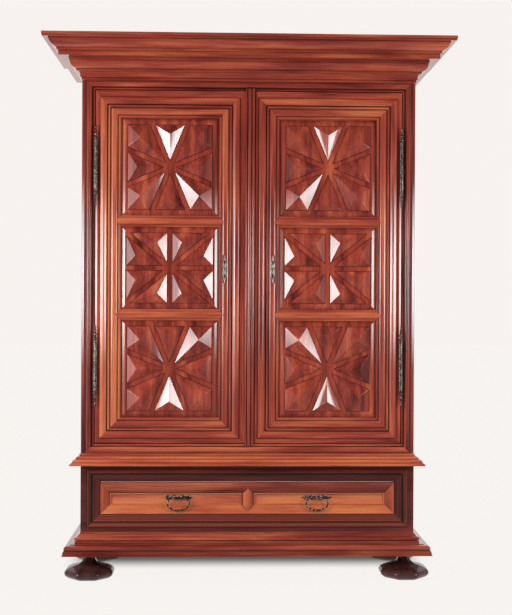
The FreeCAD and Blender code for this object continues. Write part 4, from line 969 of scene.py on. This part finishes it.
class CUPBOARD_OT_star_panels(bpy.types.Operator):
    """Builds the six door panels, each with a bevelled rim and a star of raised diamonds"""

    bl_idname = "cupboard.star_panels"
    bl_label = "Star panels"

    def execute(self, context):
        sizes = scene_sizes()
        flat, bevel, drop = sizes.panel_level, sizes.panel_bevel, sizes.panel_drop
        edge = flat + sizes.star_step
        # How far the board goes on behind the foot of its bevel, and the rise of a diamond's slopes over
        # their run
        behind, steep = 24 * MM, 0.5
        # Shares of the way over the bevel, and how high the board stands there
        share = np.array([0, 0, 0.08, 0.94, 1.0, 1.06])
        rise = np.array([-behind / drop, 0, 0.08, 0.94, 0.98, 1])
        stand = flat - drop * (1 - rise)
        for side in (-1, 1):
            place = door_places(side)
            p0, p1 = place["panel_x"]
            for number, (level, z0, z1) in enumerate(place["panels"]):
                border = sizes.star_border_middle if level == "middle" else sizes.star_border
                half = np.array([(p1 - p0) / 2 - border, (z1 - z0) / 2 - sizes.star_border])
                slope = math.atan2(half[1], half[0])
                turns = math.pi * np.array([1, 3, 5, 7]) / 8
                if level == "middle":
                    turns = np.array([0, slope, math.pi / 2, math.pi - slope])
                rays = np.sort(np.concatenate([turns, turns + math.pi]))
                middle = np.array([(p0 + p1) / 2, (z0 + z1) / 2])
                field = rectangle(-half[0], half[0], -half[1], half[1])
                seed = 300 + 30 * number + (0 if side < 0 else 100)
                # The board: a rectangle drawn in over the bevel, then flat to the middle
                rim = eased(rectangle(p0, p1, z0, z1), 0.2 * MM, 2, True)
                inner = eased(rectangle(p0 + bevel, p1 - bevel, z0 + bevel, z1 - bevel), 0.2 * MM, 2, True)
                panel = block(narrowed(rim, share, inner), stand, middle, flat)
                # The row at the foot of the bevel is darker, partly a dark joint and partly painted shade
                surfaces = [grained(panel, "z", seed, side, rows=(0, 0.5, 0.1, 0, 0, 0))]
                for k, (a, c) in enumerate(zip(rays, np.append(rays[1:], rays[0] + 2 * math.pi))):
                    sector = beyond(beyond(field, a, sizes.star_strip / 2), c + math.pi, sizes.star_strip / 2)
                    x, z, inward = incentre(sector)
                    tip = np.array([x, z]) + middle
                    ease = 0.9 * MM / inward
                    # A line of wax on the flat, the upright edge, the eased arris and the slope, each as a
                    # share of the way to the tip and how far it stands out
                    shares, levels = np.array([
                        (-2.6 * ease, flat - 0.5 * MM), (-2.6 * ease, flat + 0.1 * MM), (0, flat + 0.3 * MM),
                        (0, edge - 0.5 * MM), (0.3 * ease, edge - 0.1 * MM), (ease, edge + 0.45 * MM),
                        (0.5, edge + steep * 0.5 * inward),
                        (1 - 1.2 * ease, edge + steep * (1 - 1.2 * ease) * inward)]).T
                    loops = narrowed(eased(sector + middle, 1.2 * MM, closed=True), shares, tip)
                    diamond = block(loops, levels, tip, edge + steep * inward - 0.2 * MM)
                    # The first rows are darker: partly a dark line of wax in the joint round the diamond,
                    # partly painted shade at its foot and on its upright edge
                    surfaces.append(grained(diamond, "z", seed + 1 + k, side,
                                            rows=(0.3, 0.3, 0.65, 0.35, 0.1, 0, 0, 0)))
                piece(f"{place['name']}_star_{level}", place["body"], surfaces,
                      [f"{place['name']}_panel_{level}"], smooth=24)
        return {"FINISHED"}


class CUPBOARD_OT_centre_strip(bpy.types.Operator):
    """Builds the reeded strip on the left door that closes the middle"""

    bl_idname = "cupboard.centre_strip"
    bl_label = "Centre strip"

    def execute(self, context):
        low, high = node_frame("centre_strip")
        sizes = scene_sizes()
        section = filled(eased(outline(STRIP_SHARES, high[0] - low[0], FRONT - low[1]), sizes.arris))
        x, y = low[0] + section[:, 0], FRONT - section[:, 1]
        off = FRONT - sizes.band_rise
        door_low, door_high = node_frame("left_meeting_stile")
        surfaces = []
        # The middle lies on the stile; the two ends lap over the surround and stand off it
        for z0, z1, back in ((low[2], door_low[2], off), (door_low[2], door_high[2], FRONT),
                             (door_high[2], high[2], off)):
            ends = [np.column_stack([x, face, np.full_like(x, z)])
                    for face in (np.minimum(y, back), np.full_like(x, back)) for z in (z0, z1)]
            surfaces.append(grained(stick(*ends), "z", 500, section=hollows(section), lift=1))
        piece("centre_strip_reeds", "left_door", surfaces, ["centre_strip"])
        return {"FINISHED"}


class CUPBOARD_OT_drawer_front(bpy.types.Operator):
    """Builds the drawer front: mitred border, two sunk panels with their beads, and the lozenge"""

    bl_idname = "cupboard.drawer_front"
    bl_label = "Drawer front"

    def execute(self, context):
        (x0, _, z0), (x1, back, z1) = node_frame("drawer_front")
        # Widths of the border and of the post between the panels, and the level of the panels' floor
        side, top, bottom, middle, floor = 46 * MM, 53 * MM, 43 * MM, 57 * MM, -3 * MM
        bead_width, bead_rise = 5.5 * MM, 7 * MM
        surfaces = [grained(*board((x0, FRONT - floor, z0), (x1, back, z1), "x"), 600, lift=4.5)]
        section = eased(outline(BORDER_SHARES, side, 10 * MM), 1.2 * MM)
        border = framed(np.vstack([(0, floor), section]), [top, bottom, side, side], x0, x1, z0, z1, FRONT,
                        -floor)
        # Painted shade: dark towards the inner edge, most of all on the top stick and hardly on the bottom
        # one, with dark lines along both edges, partly joints and partly painted shade. The tones paint light
        # too: the bottom stick is lightest, as if lit from above
        inwards = np.append(0, section[:, 0]) / side
        for k, (pair, lift, dark) in enumerate(zip(border, (1, 6, 0.3, 2), (0.4, 0.04, 0.2, 0.2))):
            depth = dark * inwards ** 3 + 0.3 * (inwards > 0.98) + 0.3 * (inwards < 0.02)
            surfaces.append(grained(*pair, 601 + k, section=depth, lift=lift))
        surfaces.append(grained(*board((-middle / 2, FRONT - floor, z0 + bottom),
                                       (middle / 2, FRONT - 3.6 * MM, z1 - top), "x"), 606, lift=1.5))
        bead = outline(BEAD_SHARES, bead_width, bead_rise)
        # The beads are dark at both edges, as painted shade, and their high tone is a painted highlight
        foot = np.zeros(len(bead))
        foot[[0, -2, -1]] = 0.5, 0.4, 0.6
        for seed, a, b in ((610, x0 + side, -middle / 2), (620, middle / 2, x1 - side)):
            beads = framed(bead + (0, floor), [bead_width] * 4, a, b, z0 + bottom, z1 - top, FRONT, -floor)
            surfaces += grained_all(beads, seed, section=foot, lift=7)
        piece("drawer_front_border", "drawer", surfaces, ["drawer_front"])

        low, high = node_frame("drawer_lozenge")
        half_w, half_h = high[0], (high[2] - low[2]) / 2
        middle = np.array([0, (low[2] + high[2]) / 2])
        corners = np.array([(0, -half_h), (half_w, half_w - half_h), (half_w, half_h - half_w), (0, half_h),
                            (-half_w, half_h - half_w), (-half_w, half_w - half_h)])
        # Upright edge, bevel and flat top: shares of the way to the middle, and how far each stands out
        share = np.array([0, 0, 0.03, 0.30, 0.34, 0.5])
        stand = np.array([3, 12.4, 13, 15.4, 15.9, 16]) * MM
        loops = narrowed(eased(corners, 1.0 * MM, closed=True) + middle, share, middle)
        lozenge = block(loops, stand, middle, stand[-1])
        # The lozenge's foot and upright edge are darkened as painted shade
        piece("drawer_lozenge_block", "drawer",
              [grained(lozenge, "z", 640, lift=5, rows=(0.5, 0.3, 0.1, 0, 0, 0))], ["drawer_lozenge"],
              smooth=24)
        return {"FINISHED"}


class CUPBOARD_OT_feet(bpy.types.Operator):
    """Turns the four octagonal bun feet"""

    bl_idname = "cupboard.feet"
    bl_label = "Bun feet"

    def execute(self, context):
        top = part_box("plinth_moulding")[0][2]
        for number, name in enumerate(("foot_front_left", "foot_front_right", "foot_rear_left",
                                       "foot_rear_right")):
            low, high = node_frame(name)
            # The node's width is across the flats; its height holds the peg
            radius = (high[1] - low[1]) / 2
            shares = eased(np.array(FOOT_SHARES) * (radius, top), 6 * MM, 4)
            foot = turned(shares[:, 0], shares[:, 1], (low + high) / 2, 96, 8)
            piece(name + "_bun", "case", [grained(foot, "z", 700 + number)], [name], "dark",
                  smooth=60)
        return {"FINISHED"}


def iron_plate(half_section, middle, y, thick, axis, hole=None):
    """Flat iron plate from tip to tip, in two halves that meet on its long middle line: at each station
    along it the half runs from the hole's edge, or the middle line, out to the outline, with an eased
    front edge. The half section is (half width, place along)."""
    least = 0.3 * MM
    half_section = half_section[half_section[:, 0] > least]
    width, along = half_section[:, 0], half_section[:, 1]
    inner = np.zeros_like(width) if hole is None else np.interp(along, hole[:, 1], hole[:, 0], 0, 0)
    inner = np.minimum(inner, width - least)
    ease = np.minimum(0.8 * MM, (width - inner) * 0.4)
    across = np.stack([inner, inner + ease * 0.3, width - ease, width, width, inner], axis=1)
    out = np.array([thick - 0.3 * MM, thick, thick, thick - 0.7 * MM, 0, 0])
    long, wide = (2, 0) if axis == "z" else (0, 2)
    halves = []
    for way in (-1, 1):
        rings = np.empty((*across.shape, 3))
        rings[..., wide] = middle[0] + way * across
        rings[..., long] = (middle[1] + along)[:, None]
        rings[..., 1] = y - out
        halves.append(tube(rings, [rings[0].mean(axis=0), rings[-1].mean(axis=0)]))
    return halves


def dense(points, gap):
    """Points set evenly along a line, at most this far apart. Those that go no further along the plate are
    left out."""
    steps = np.linalg.norm(np.diff(points, axis=0), axis=1)
    run = np.append(0, np.cumsum(steps))
    s = np.linspace(0, run[-1], int(run[-1] / gap) + 2)
    line = np.column_stack([np.interp(s, run, values) for values in points.T])
    return line[np.append(True, np.diff(line[:, 1]) > 1e-6)]


class CUPBOARD_OT_escutcheons(bpy.types.Operator):
    """Cuts the two fretted iron lock plates with their keyholes"""

    bl_idname = "cupboard.escutcheons"
    bl_label = "Escutcheons"

    def execute(self, context):
        for name in ("left", "right"):
            low, high = node_frame(name + "_escutcheon")
            tall, middle = high[2] - low[2], (low + high) / 2
            corners = np.array(ESCUTCHEON_SHARES) * ((high[0] - low[0]) / 2, tall) - (0, tall / 2)
            section = dense(eased(corners, 3 * MM, 5), 1.0 * MM)
            # Keyhole: a round bow above a straight slot. Above and below it a drop is pierced
            turn = np.linspace(-1.1, math.pi / 2, 9)
            bow = np.column_stack([4.2 * np.cos(turn), 6 + 4.2 * np.sin(turn)]) * MM
            s = np.linspace(-1, 1, 11)
            drop = np.column_stack([5 * MM * np.cos(s * math.pi / 2), 11 * MM * s])
            slot = np.array([(0, -10.01), (2.4, -10), (1.7, 1.5)]) * MM
            hole = np.vstack([drop - (0, 0.25 * tall), slot, bow, drop + (0, 0.25 * tall)])
            plates = iron_plate(section, (middle[0], middle[2]), high[1], high[1] - low[1], "z", hole)
            piece(name + "_lock_plate", name + "_door", [grained(half, "z", 800) for half in plates],
                  [name + "_escutcheon"], "chiselled")
            # A dark strip behind the piercings, as painted shade where the holes would look into the dark
            # lock
            wide, tall = 5.4 * MM, 0.35 * tall
            dark = board((middle[0] - wide, high[1] - 0.4 * MM, middle[2] - tall),
                         (middle[0] + wide, high[1] + 0.5 * MM, middle[2] + tall), "z", 0.1 * MM)
            piece(name + "_keyhole_lining", name + "_door", [grained(*dark, 801)], (), "dark")
        return {"FINISHED"}


class CUPBOARD_OT_hinges(bpy.types.Operator):
    """Turns the four fiche hinges: two knuckles with finials, a pin and two leaves each"""

    bl_idname = "cupboard.hinges"
    bl_label = "Fiche hinges"

    def execute(self, context):
        # Heights of a knuckle and of the finial on it, the play between two knuckles, half a leaf's
        # thickness, and how far a leaf ends before its knuckle does
        knuckle, finial, play, leaf, short = 116 * MM, 80 * MM, 0.3 * MM, 1.5 * MM, 10 * MM
        radius, bore = 9 * MM, 5.05 * MM
        neck = 0.93 * radius
        y, back = FRONT - 24 * MM, FRONT + 26 * MM
        barrel = np.array([(0, 0), (radius - 0.6 * MM, 0), (radius, 0.6 * MM), (radius, 3 * MM),
                           (neck, 4 * MM), (radius, 5 * MM), (radius, knuckle - 5 * MM),
                           (neck, knuckle - 4 * MM), (radius, knuckle - 3 * MM)])
        solid = np.vstack([barrel, outline(FINIAL_SHARES, radius, finial, 6) + (0, knuckle)])
        # The sleeve is hollow: its lower end opens round the pin
        sleeve = np.vstack([(0, 100 * MM), (bore, 99 * MM), (bore, 0), solid[1:]])
        pin = np.array([(0, -1), (5, -1), (5, 104), (4, 105.5), (0, 106)]) * MM
        low, high = node_frame("left_door_hinges")
        case_surfaces = []
        for side, name in ((-1, "left"), (1, "right")):
            x = sum(corner[0] for corner in node_frame(name + "_door_hinges")) / 2
            out = x + side * (radius - leaf)
            door_surfaces = []
            for level in (low[2] - play, high[2] - knuckle - finial):
                upper = turned(sleeve[:, 0], level + play + sleeve[:, 1], (x, y), 32)
                lower = turned(solid[:, 0], level - solid[:, 1], (x, y), 32)
                inside = turned(pin[:, 0], level + pin[:, 1], (x, y), 24)
                door_leaf = board((x - leaf, back, level + short),
                                  (x + leaf, y, level + knuckle - short), "z")
                case_leaf = board((out, back, level - knuckle + short),
                                  (out + side * 2 * leaf, y, level - short), "z")
                door_surfaces += [grained(upper, "z", 820), grained(*door_leaf, 822)]
                case_surfaces += [grained(lower, "z", 820), grained(inside, "z", 821),
                                  grained(*case_leaf, 823)]
            piece(name + "_fiche_sleeves", name + "_door", door_surfaces, [name + "_door_hinges"], "iron")
        piece("case_fiche_pins", "case", case_surfaces, ["case_hinge_leaves"], "iron")
        return {"FINISHED"}


class CUPBOARD_OT_pulls(bpy.types.Operator):
    """Forges the two bail pulls: fretted plates with ball-headed posts, and the swinging bails"""

    bl_idname = "cupboard.pulls"
    bl_label = "Bail pulls"

    def execute(self, context):
        # The plate's thickness and where its back lies in the drawer front's panel, the bails' pivot line,
        # half its length, which is the radius of a bail's ends too, and half the distance of the posts
        thick, seat, y, end, apart = 3 * MM, FRONT + 3 * MM, FRONT - 22 * MM, 26 * MM, 17 * MM
        section = np.array(PULL_PLATE_SHARES) * (12 * MM, 75 * MM)
        section = dense(eased(section, 4 * MM, 5), 1.0 * MM)
        # Post: a collar, a neck and a round head, turned about the line straight out
        turn = np.linspace(2.45, 0, 12)
        neck = np.array([(0, 0), (7.5, 0), (7.5, 4.2), (5, 5.4), (4.2, 9), (4.6, 17.8)])
        head = np.column_stack([7.5 * np.sin(turn), 25 + 7.5 * np.cos(turn)])
        profile = np.vstack([neck, head]) * MM
        post = turned(profile[:, 0], profile[:, 1], (0, 0), 24)
        plates = []
        for name in ("left_bail", "right_bail"):
            low, high = node_frame(name)
            x = (low[0] + high[0]) / 2
            z = high[2] - 4 * MM
            plates += [grained(half, "x", 850) for half in iron_plate(section, (z, x), seat, thick, "x")]
            for way in (-1, 1):
                points = post[0][:, [0, 2, 1]] * (1, -1, 1) + (x + way * apart, seat, z)
                plates.append(grained((points, *post[1:]), "x", 860))

            # Bail: a small arc at each end and one wide arc between, with a rod that swells to the middle
            turn = math.radians(60)
            wide = end + end / math.cos(turn)
            centre_z = z - end
            arc = np.linspace(math.pi / 2, -turn, 18)
            small = np.column_stack([end + end * np.cos(arc), centre_z + end * np.sin(arc)])
            wide_z = centre_z + end * math.tan(turn)
            sweep = math.asin((end + end * math.cos(turn)) / wide)
            arc = np.linspace(sweep, -sweep, 30)[1:-1]
            bottom = np.column_stack([wide * np.sin(arc), wide_z - wide * np.cos(arc)])
            line = np.vstack([small, bottom, small[::-1] * (-1, 1)])
            path = np.column_stack([x + line[:, 0], np.full(len(line), y), line[:, 1]])
            s = np.linspace(-1, 1, len(path))
            radius = (3.1 + 1.7 * np.cos(s * math.pi / 2) ** 2) * MM
            surfaces = [grained(rod(path, radius), "x", 870)]
            for way in (-1, 1):
                pin = np.array([(x + way * (end + further * MM), y, z) for further in (1, -5, -15)])
                surfaces.append(grained(rod(pin, np.array([3.1, 3.0, 2.95]) * MM), "x", 871))
            piece(name + "_forged", name, surfaces, [name], "blackened")
        piece("pull_plates_forged", "drawer", plates, ["pull_plates"], "blackened")
        return {"FINISHED"}


class CUPBOARD_OT_stage(bpy.types.Operator):
    """Lays the floor, hangs the softboxes and sets up the camera"""

    bl_idname = "cupboard.stage"
    bl_label = "Stage"

    def execute(self, context):
        scene = context.scene
        stage = scene.cupboard_stage
        mesh = bpy.data.meshes.new("studio_floor")
        reach = 30.0
        grid = np.linspace(-reach, reach, 3)
        x, y = np.meshgrid(grid, grid)
        points = np.column_stack([x.ravel(), y.ravel(), np.zeros(9)])
        index = np.arange(9).reshape(3, 3)
        quads = np.stack([index[:-1, :-1], index[:-1, 1:], index[1:, 1:], index[1:, :-1]], axis=-1)
        mesh.from_pydata(points, [], quads.reshape(-1, 4).tolist())
        mesh.materials.append(pale_ground())
        floor = bpy.data.objects.new("studio_floor", mesh)
        scene.collection.objects.link(floor)

        # Two upright softboxes, one on each side, and beside the left one a wide pale screen that it lights:
        # angle, width, height, radiance and distance
        left, right = stage.lamp_angles
        near, strong = stage.lamp_distance, stage.lamp_strength
        for name, angle, wide, tall, radiance, distance in (
                ("softbox_left", -left, 0.98, 1.4, strong, near),
                ("softbox_right", right, 0.98, 1.4, strong, near),
                ("screen_left", -left - 14, 1.5, 2.6, 0.22 * strong, near + 0.3)):
            lamp = bpy.data.lights.new(name, "AREA")
            lamp.shape = "RECTANGLE"
            lamp.size, lamp.size_y = wide, tall
            lamp.energy = radiance * math.pi * wide * tall
            # Its light fades towards the top and the bottom: strength = (1 - v^2)^1.5, v from -1 to 1
            lamp.use_nodes = True
            tree = lamp.node_tree
            tree.nodes.clear()
            spot = add(tree, "NewGeometry", {}, output="Parametric")
            v = add(tree, "SeparateXYZ", {0: spot}, output="Y")
            v = add(tree, "Math", {0: v, 1: 0.5}, operation="SUBTRACT")
            v = add(tree, "Math", {0: v, 1: 2.0}, operation="MULTIPLY")
            fade = add(tree, "Math", {0: v, 1: v}, operation="MULTIPLY")
            fade = add(tree, "Math", {0: 1.0, 1: fade}, operation="SUBTRACT")
            fade = add(tree, "Math", {0: fade, 1: 1.5}, operation="POWER")
            add(tree, "OutputLight", {0: add(tree, "Emission", {"Strength": fade})}, output=None)
            turn = math.radians(angle)
            place = (distance * math.sin(turn), FRONT - distance * math.cos(turn), stage.lamp_height)
            holder = bpy.data.objects.new(name, lamp)
            holder.matrix_world = (Matrix.Translation(place) @ Matrix.Rotation(turn, 4, "Z") @
                                   Matrix.Rotation(math.pi / 2, 4, "X"))
            scene.collection.objects.link(holder)

        # The room: pale to the camera and in mirrors that look behind the cupboard, dim in front of it. Its
        # soft light comes from the ceiling, so that what looks down stays deep
        world = bpy.data.worlds.new("studio_room")
        world.use_nodes = True
        tree = world.node_tree
        tree.nodes.clear()
        light = add(tree, "LightPath", {}, output=None)
        way = add(tree, "TexCoord", {}, output="Generated")
        _, rearward, upward = add(tree, "SeparateXYZ", {0: way}, output=None)
        behind = add(tree, "MapRange", {"Value": rearward, "From Min": -0.1, "From Max": 0.5,
                                        "To Min": 0.05, "To Max": 1.0})
        above = add(tree, "MapRange", {"Value": upward, "From Min": -0.15, "From Max": 0.9,
                                       "To Min": 0.1, "To Max": 0.95})
        mirror = add(tree, "Math", {0: light["Is Glossy Ray"], 1: light["Is Transmission Ray"]},
                     operation="MAXIMUM")
        soft = add(tree, "Mix", {"Factor": mirror, "A": above, "B": behind}, data_type="FLOAT")
        level = add(tree, "Mix", {"Factor": light["Is Camera Ray"], "A": soft, "B": 1.0}, data_type="FLOAT")
        room = add(tree, "Background", {"Color": linear("#f7f2ef"), "Strength": level})
        add(tree, "OutputWorld", {0: room}, output=None)
        scene.world = world

        # Camera: yaw, pitch and roll as worked out from the photograph's edges
        yaw, pitch, roll = (math.radians(v) for v in stage.camera_turns)
        ahead = np.array([-math.sin(yaw) * math.cos(pitch), math.cos(yaw) * math.cos(pitch), math.sin(pitch)])
        level_right = np.array([math.cos(yaw), math.sin(yaw), 0])
        level_up = np.cross(level_right, ahead)
        right = level_right * math.cos(roll) + level_up * math.sin(roll)
        up = level_up * math.cos(roll) - level_right * math.sin(roll)
        axes = Matrix(np.column_stack([right, up, -ahead]).tolist()).to_4x4()
        data = bpy.data.cameras.new("camera")
        data.sensor_width = 36
        data.lens = stage.lens
        data.clip_end = 200
        camera = bpy.data.objects.new("camera", data)
        camera.matrix_world = Matrix.Translation(stage.camera_place) @ axes
        scene.collection.objects.link(camera)
        scene.camera = camera
        scene.view_settings.view_transform = "Standard"
        return {"FINISHED"}


class CUPBOARD_PT_pieces(bpy.types.Panel):
    """Lists the pieces of the cupboard"""

    bl_idname = "CUPBOARD_PT_pieces"
    bl_label = "Cupboard"
    bl_space_type = "VIEW_3D"
    bl_region_type = "UI"
    bl_category = "Cupboard"

    def draw(self, context):
        column = self.layout.column()
        for operator in OPERATORS:
            column.operator(operator.bl_idname)
        for group in (context.scene.cupboard_sizes, context.scene.cupboard_colours,
                      context.scene.cupboard_stage):
            for name in group.bl_rna.properties.keys():
                if name not in ("name", "rna_type"):
                    column.prop(group, name)


OPERATORS = (
    CUPBOARD_OT_stage, CUPBOARD_OT_frame_finishes, CUPBOARD_OT_case_mouldings, CUPBOARD_OT_surrounds,
    CUPBOARD_OT_posts, CUPBOARD_OT_door_frames, CUPBOARD_OT_star_panels, CUPBOARD_OT_centre_strip,
    CUPBOARD_OT_drawer_front, CUPBOARD_OT_feet, CUPBOARD_OT_escutcheons, CUPBOARD_OT_hinges,
    CUPBOARD_OT_pulls,
)
GROUPS = (CupboardSizes, CupboardColours, CupboardStage)


def register():
    for kind in GROUPS + OPERATORS + (CUPBOARD_PT_pieces,):
        bpy.utils.register_class(kind)
    bpy.types.Scene.cupboard_sizes = bpy.props.PointerProperty(type=CupboardSizes)
    bpy.types.Scene.cupboard_colours = bpy.props.PointerProperty(type=CupboardColours)
    bpy.types.Scene.cupboard_stage = bpy.props.PointerProperty(type=CupboardStage)


def unregister():
    for name in ("cupboard_sizes", "cupboard_colours", "cupboard_stage"):
        delattr(bpy.types.Scene, name)
    for kind in reversed(GROUPS + OPERATORS + (CUPBOARD_PT_pieces,)):
        bpy.utils.unregister_class(kind)


def main():
    register()
    for operator in OPERATORS:
        group, name = operator.bl_idname.split(".")
        getattr(getattr(bpy.ops, group), name)()


if __name__ == "__main__":
    main()
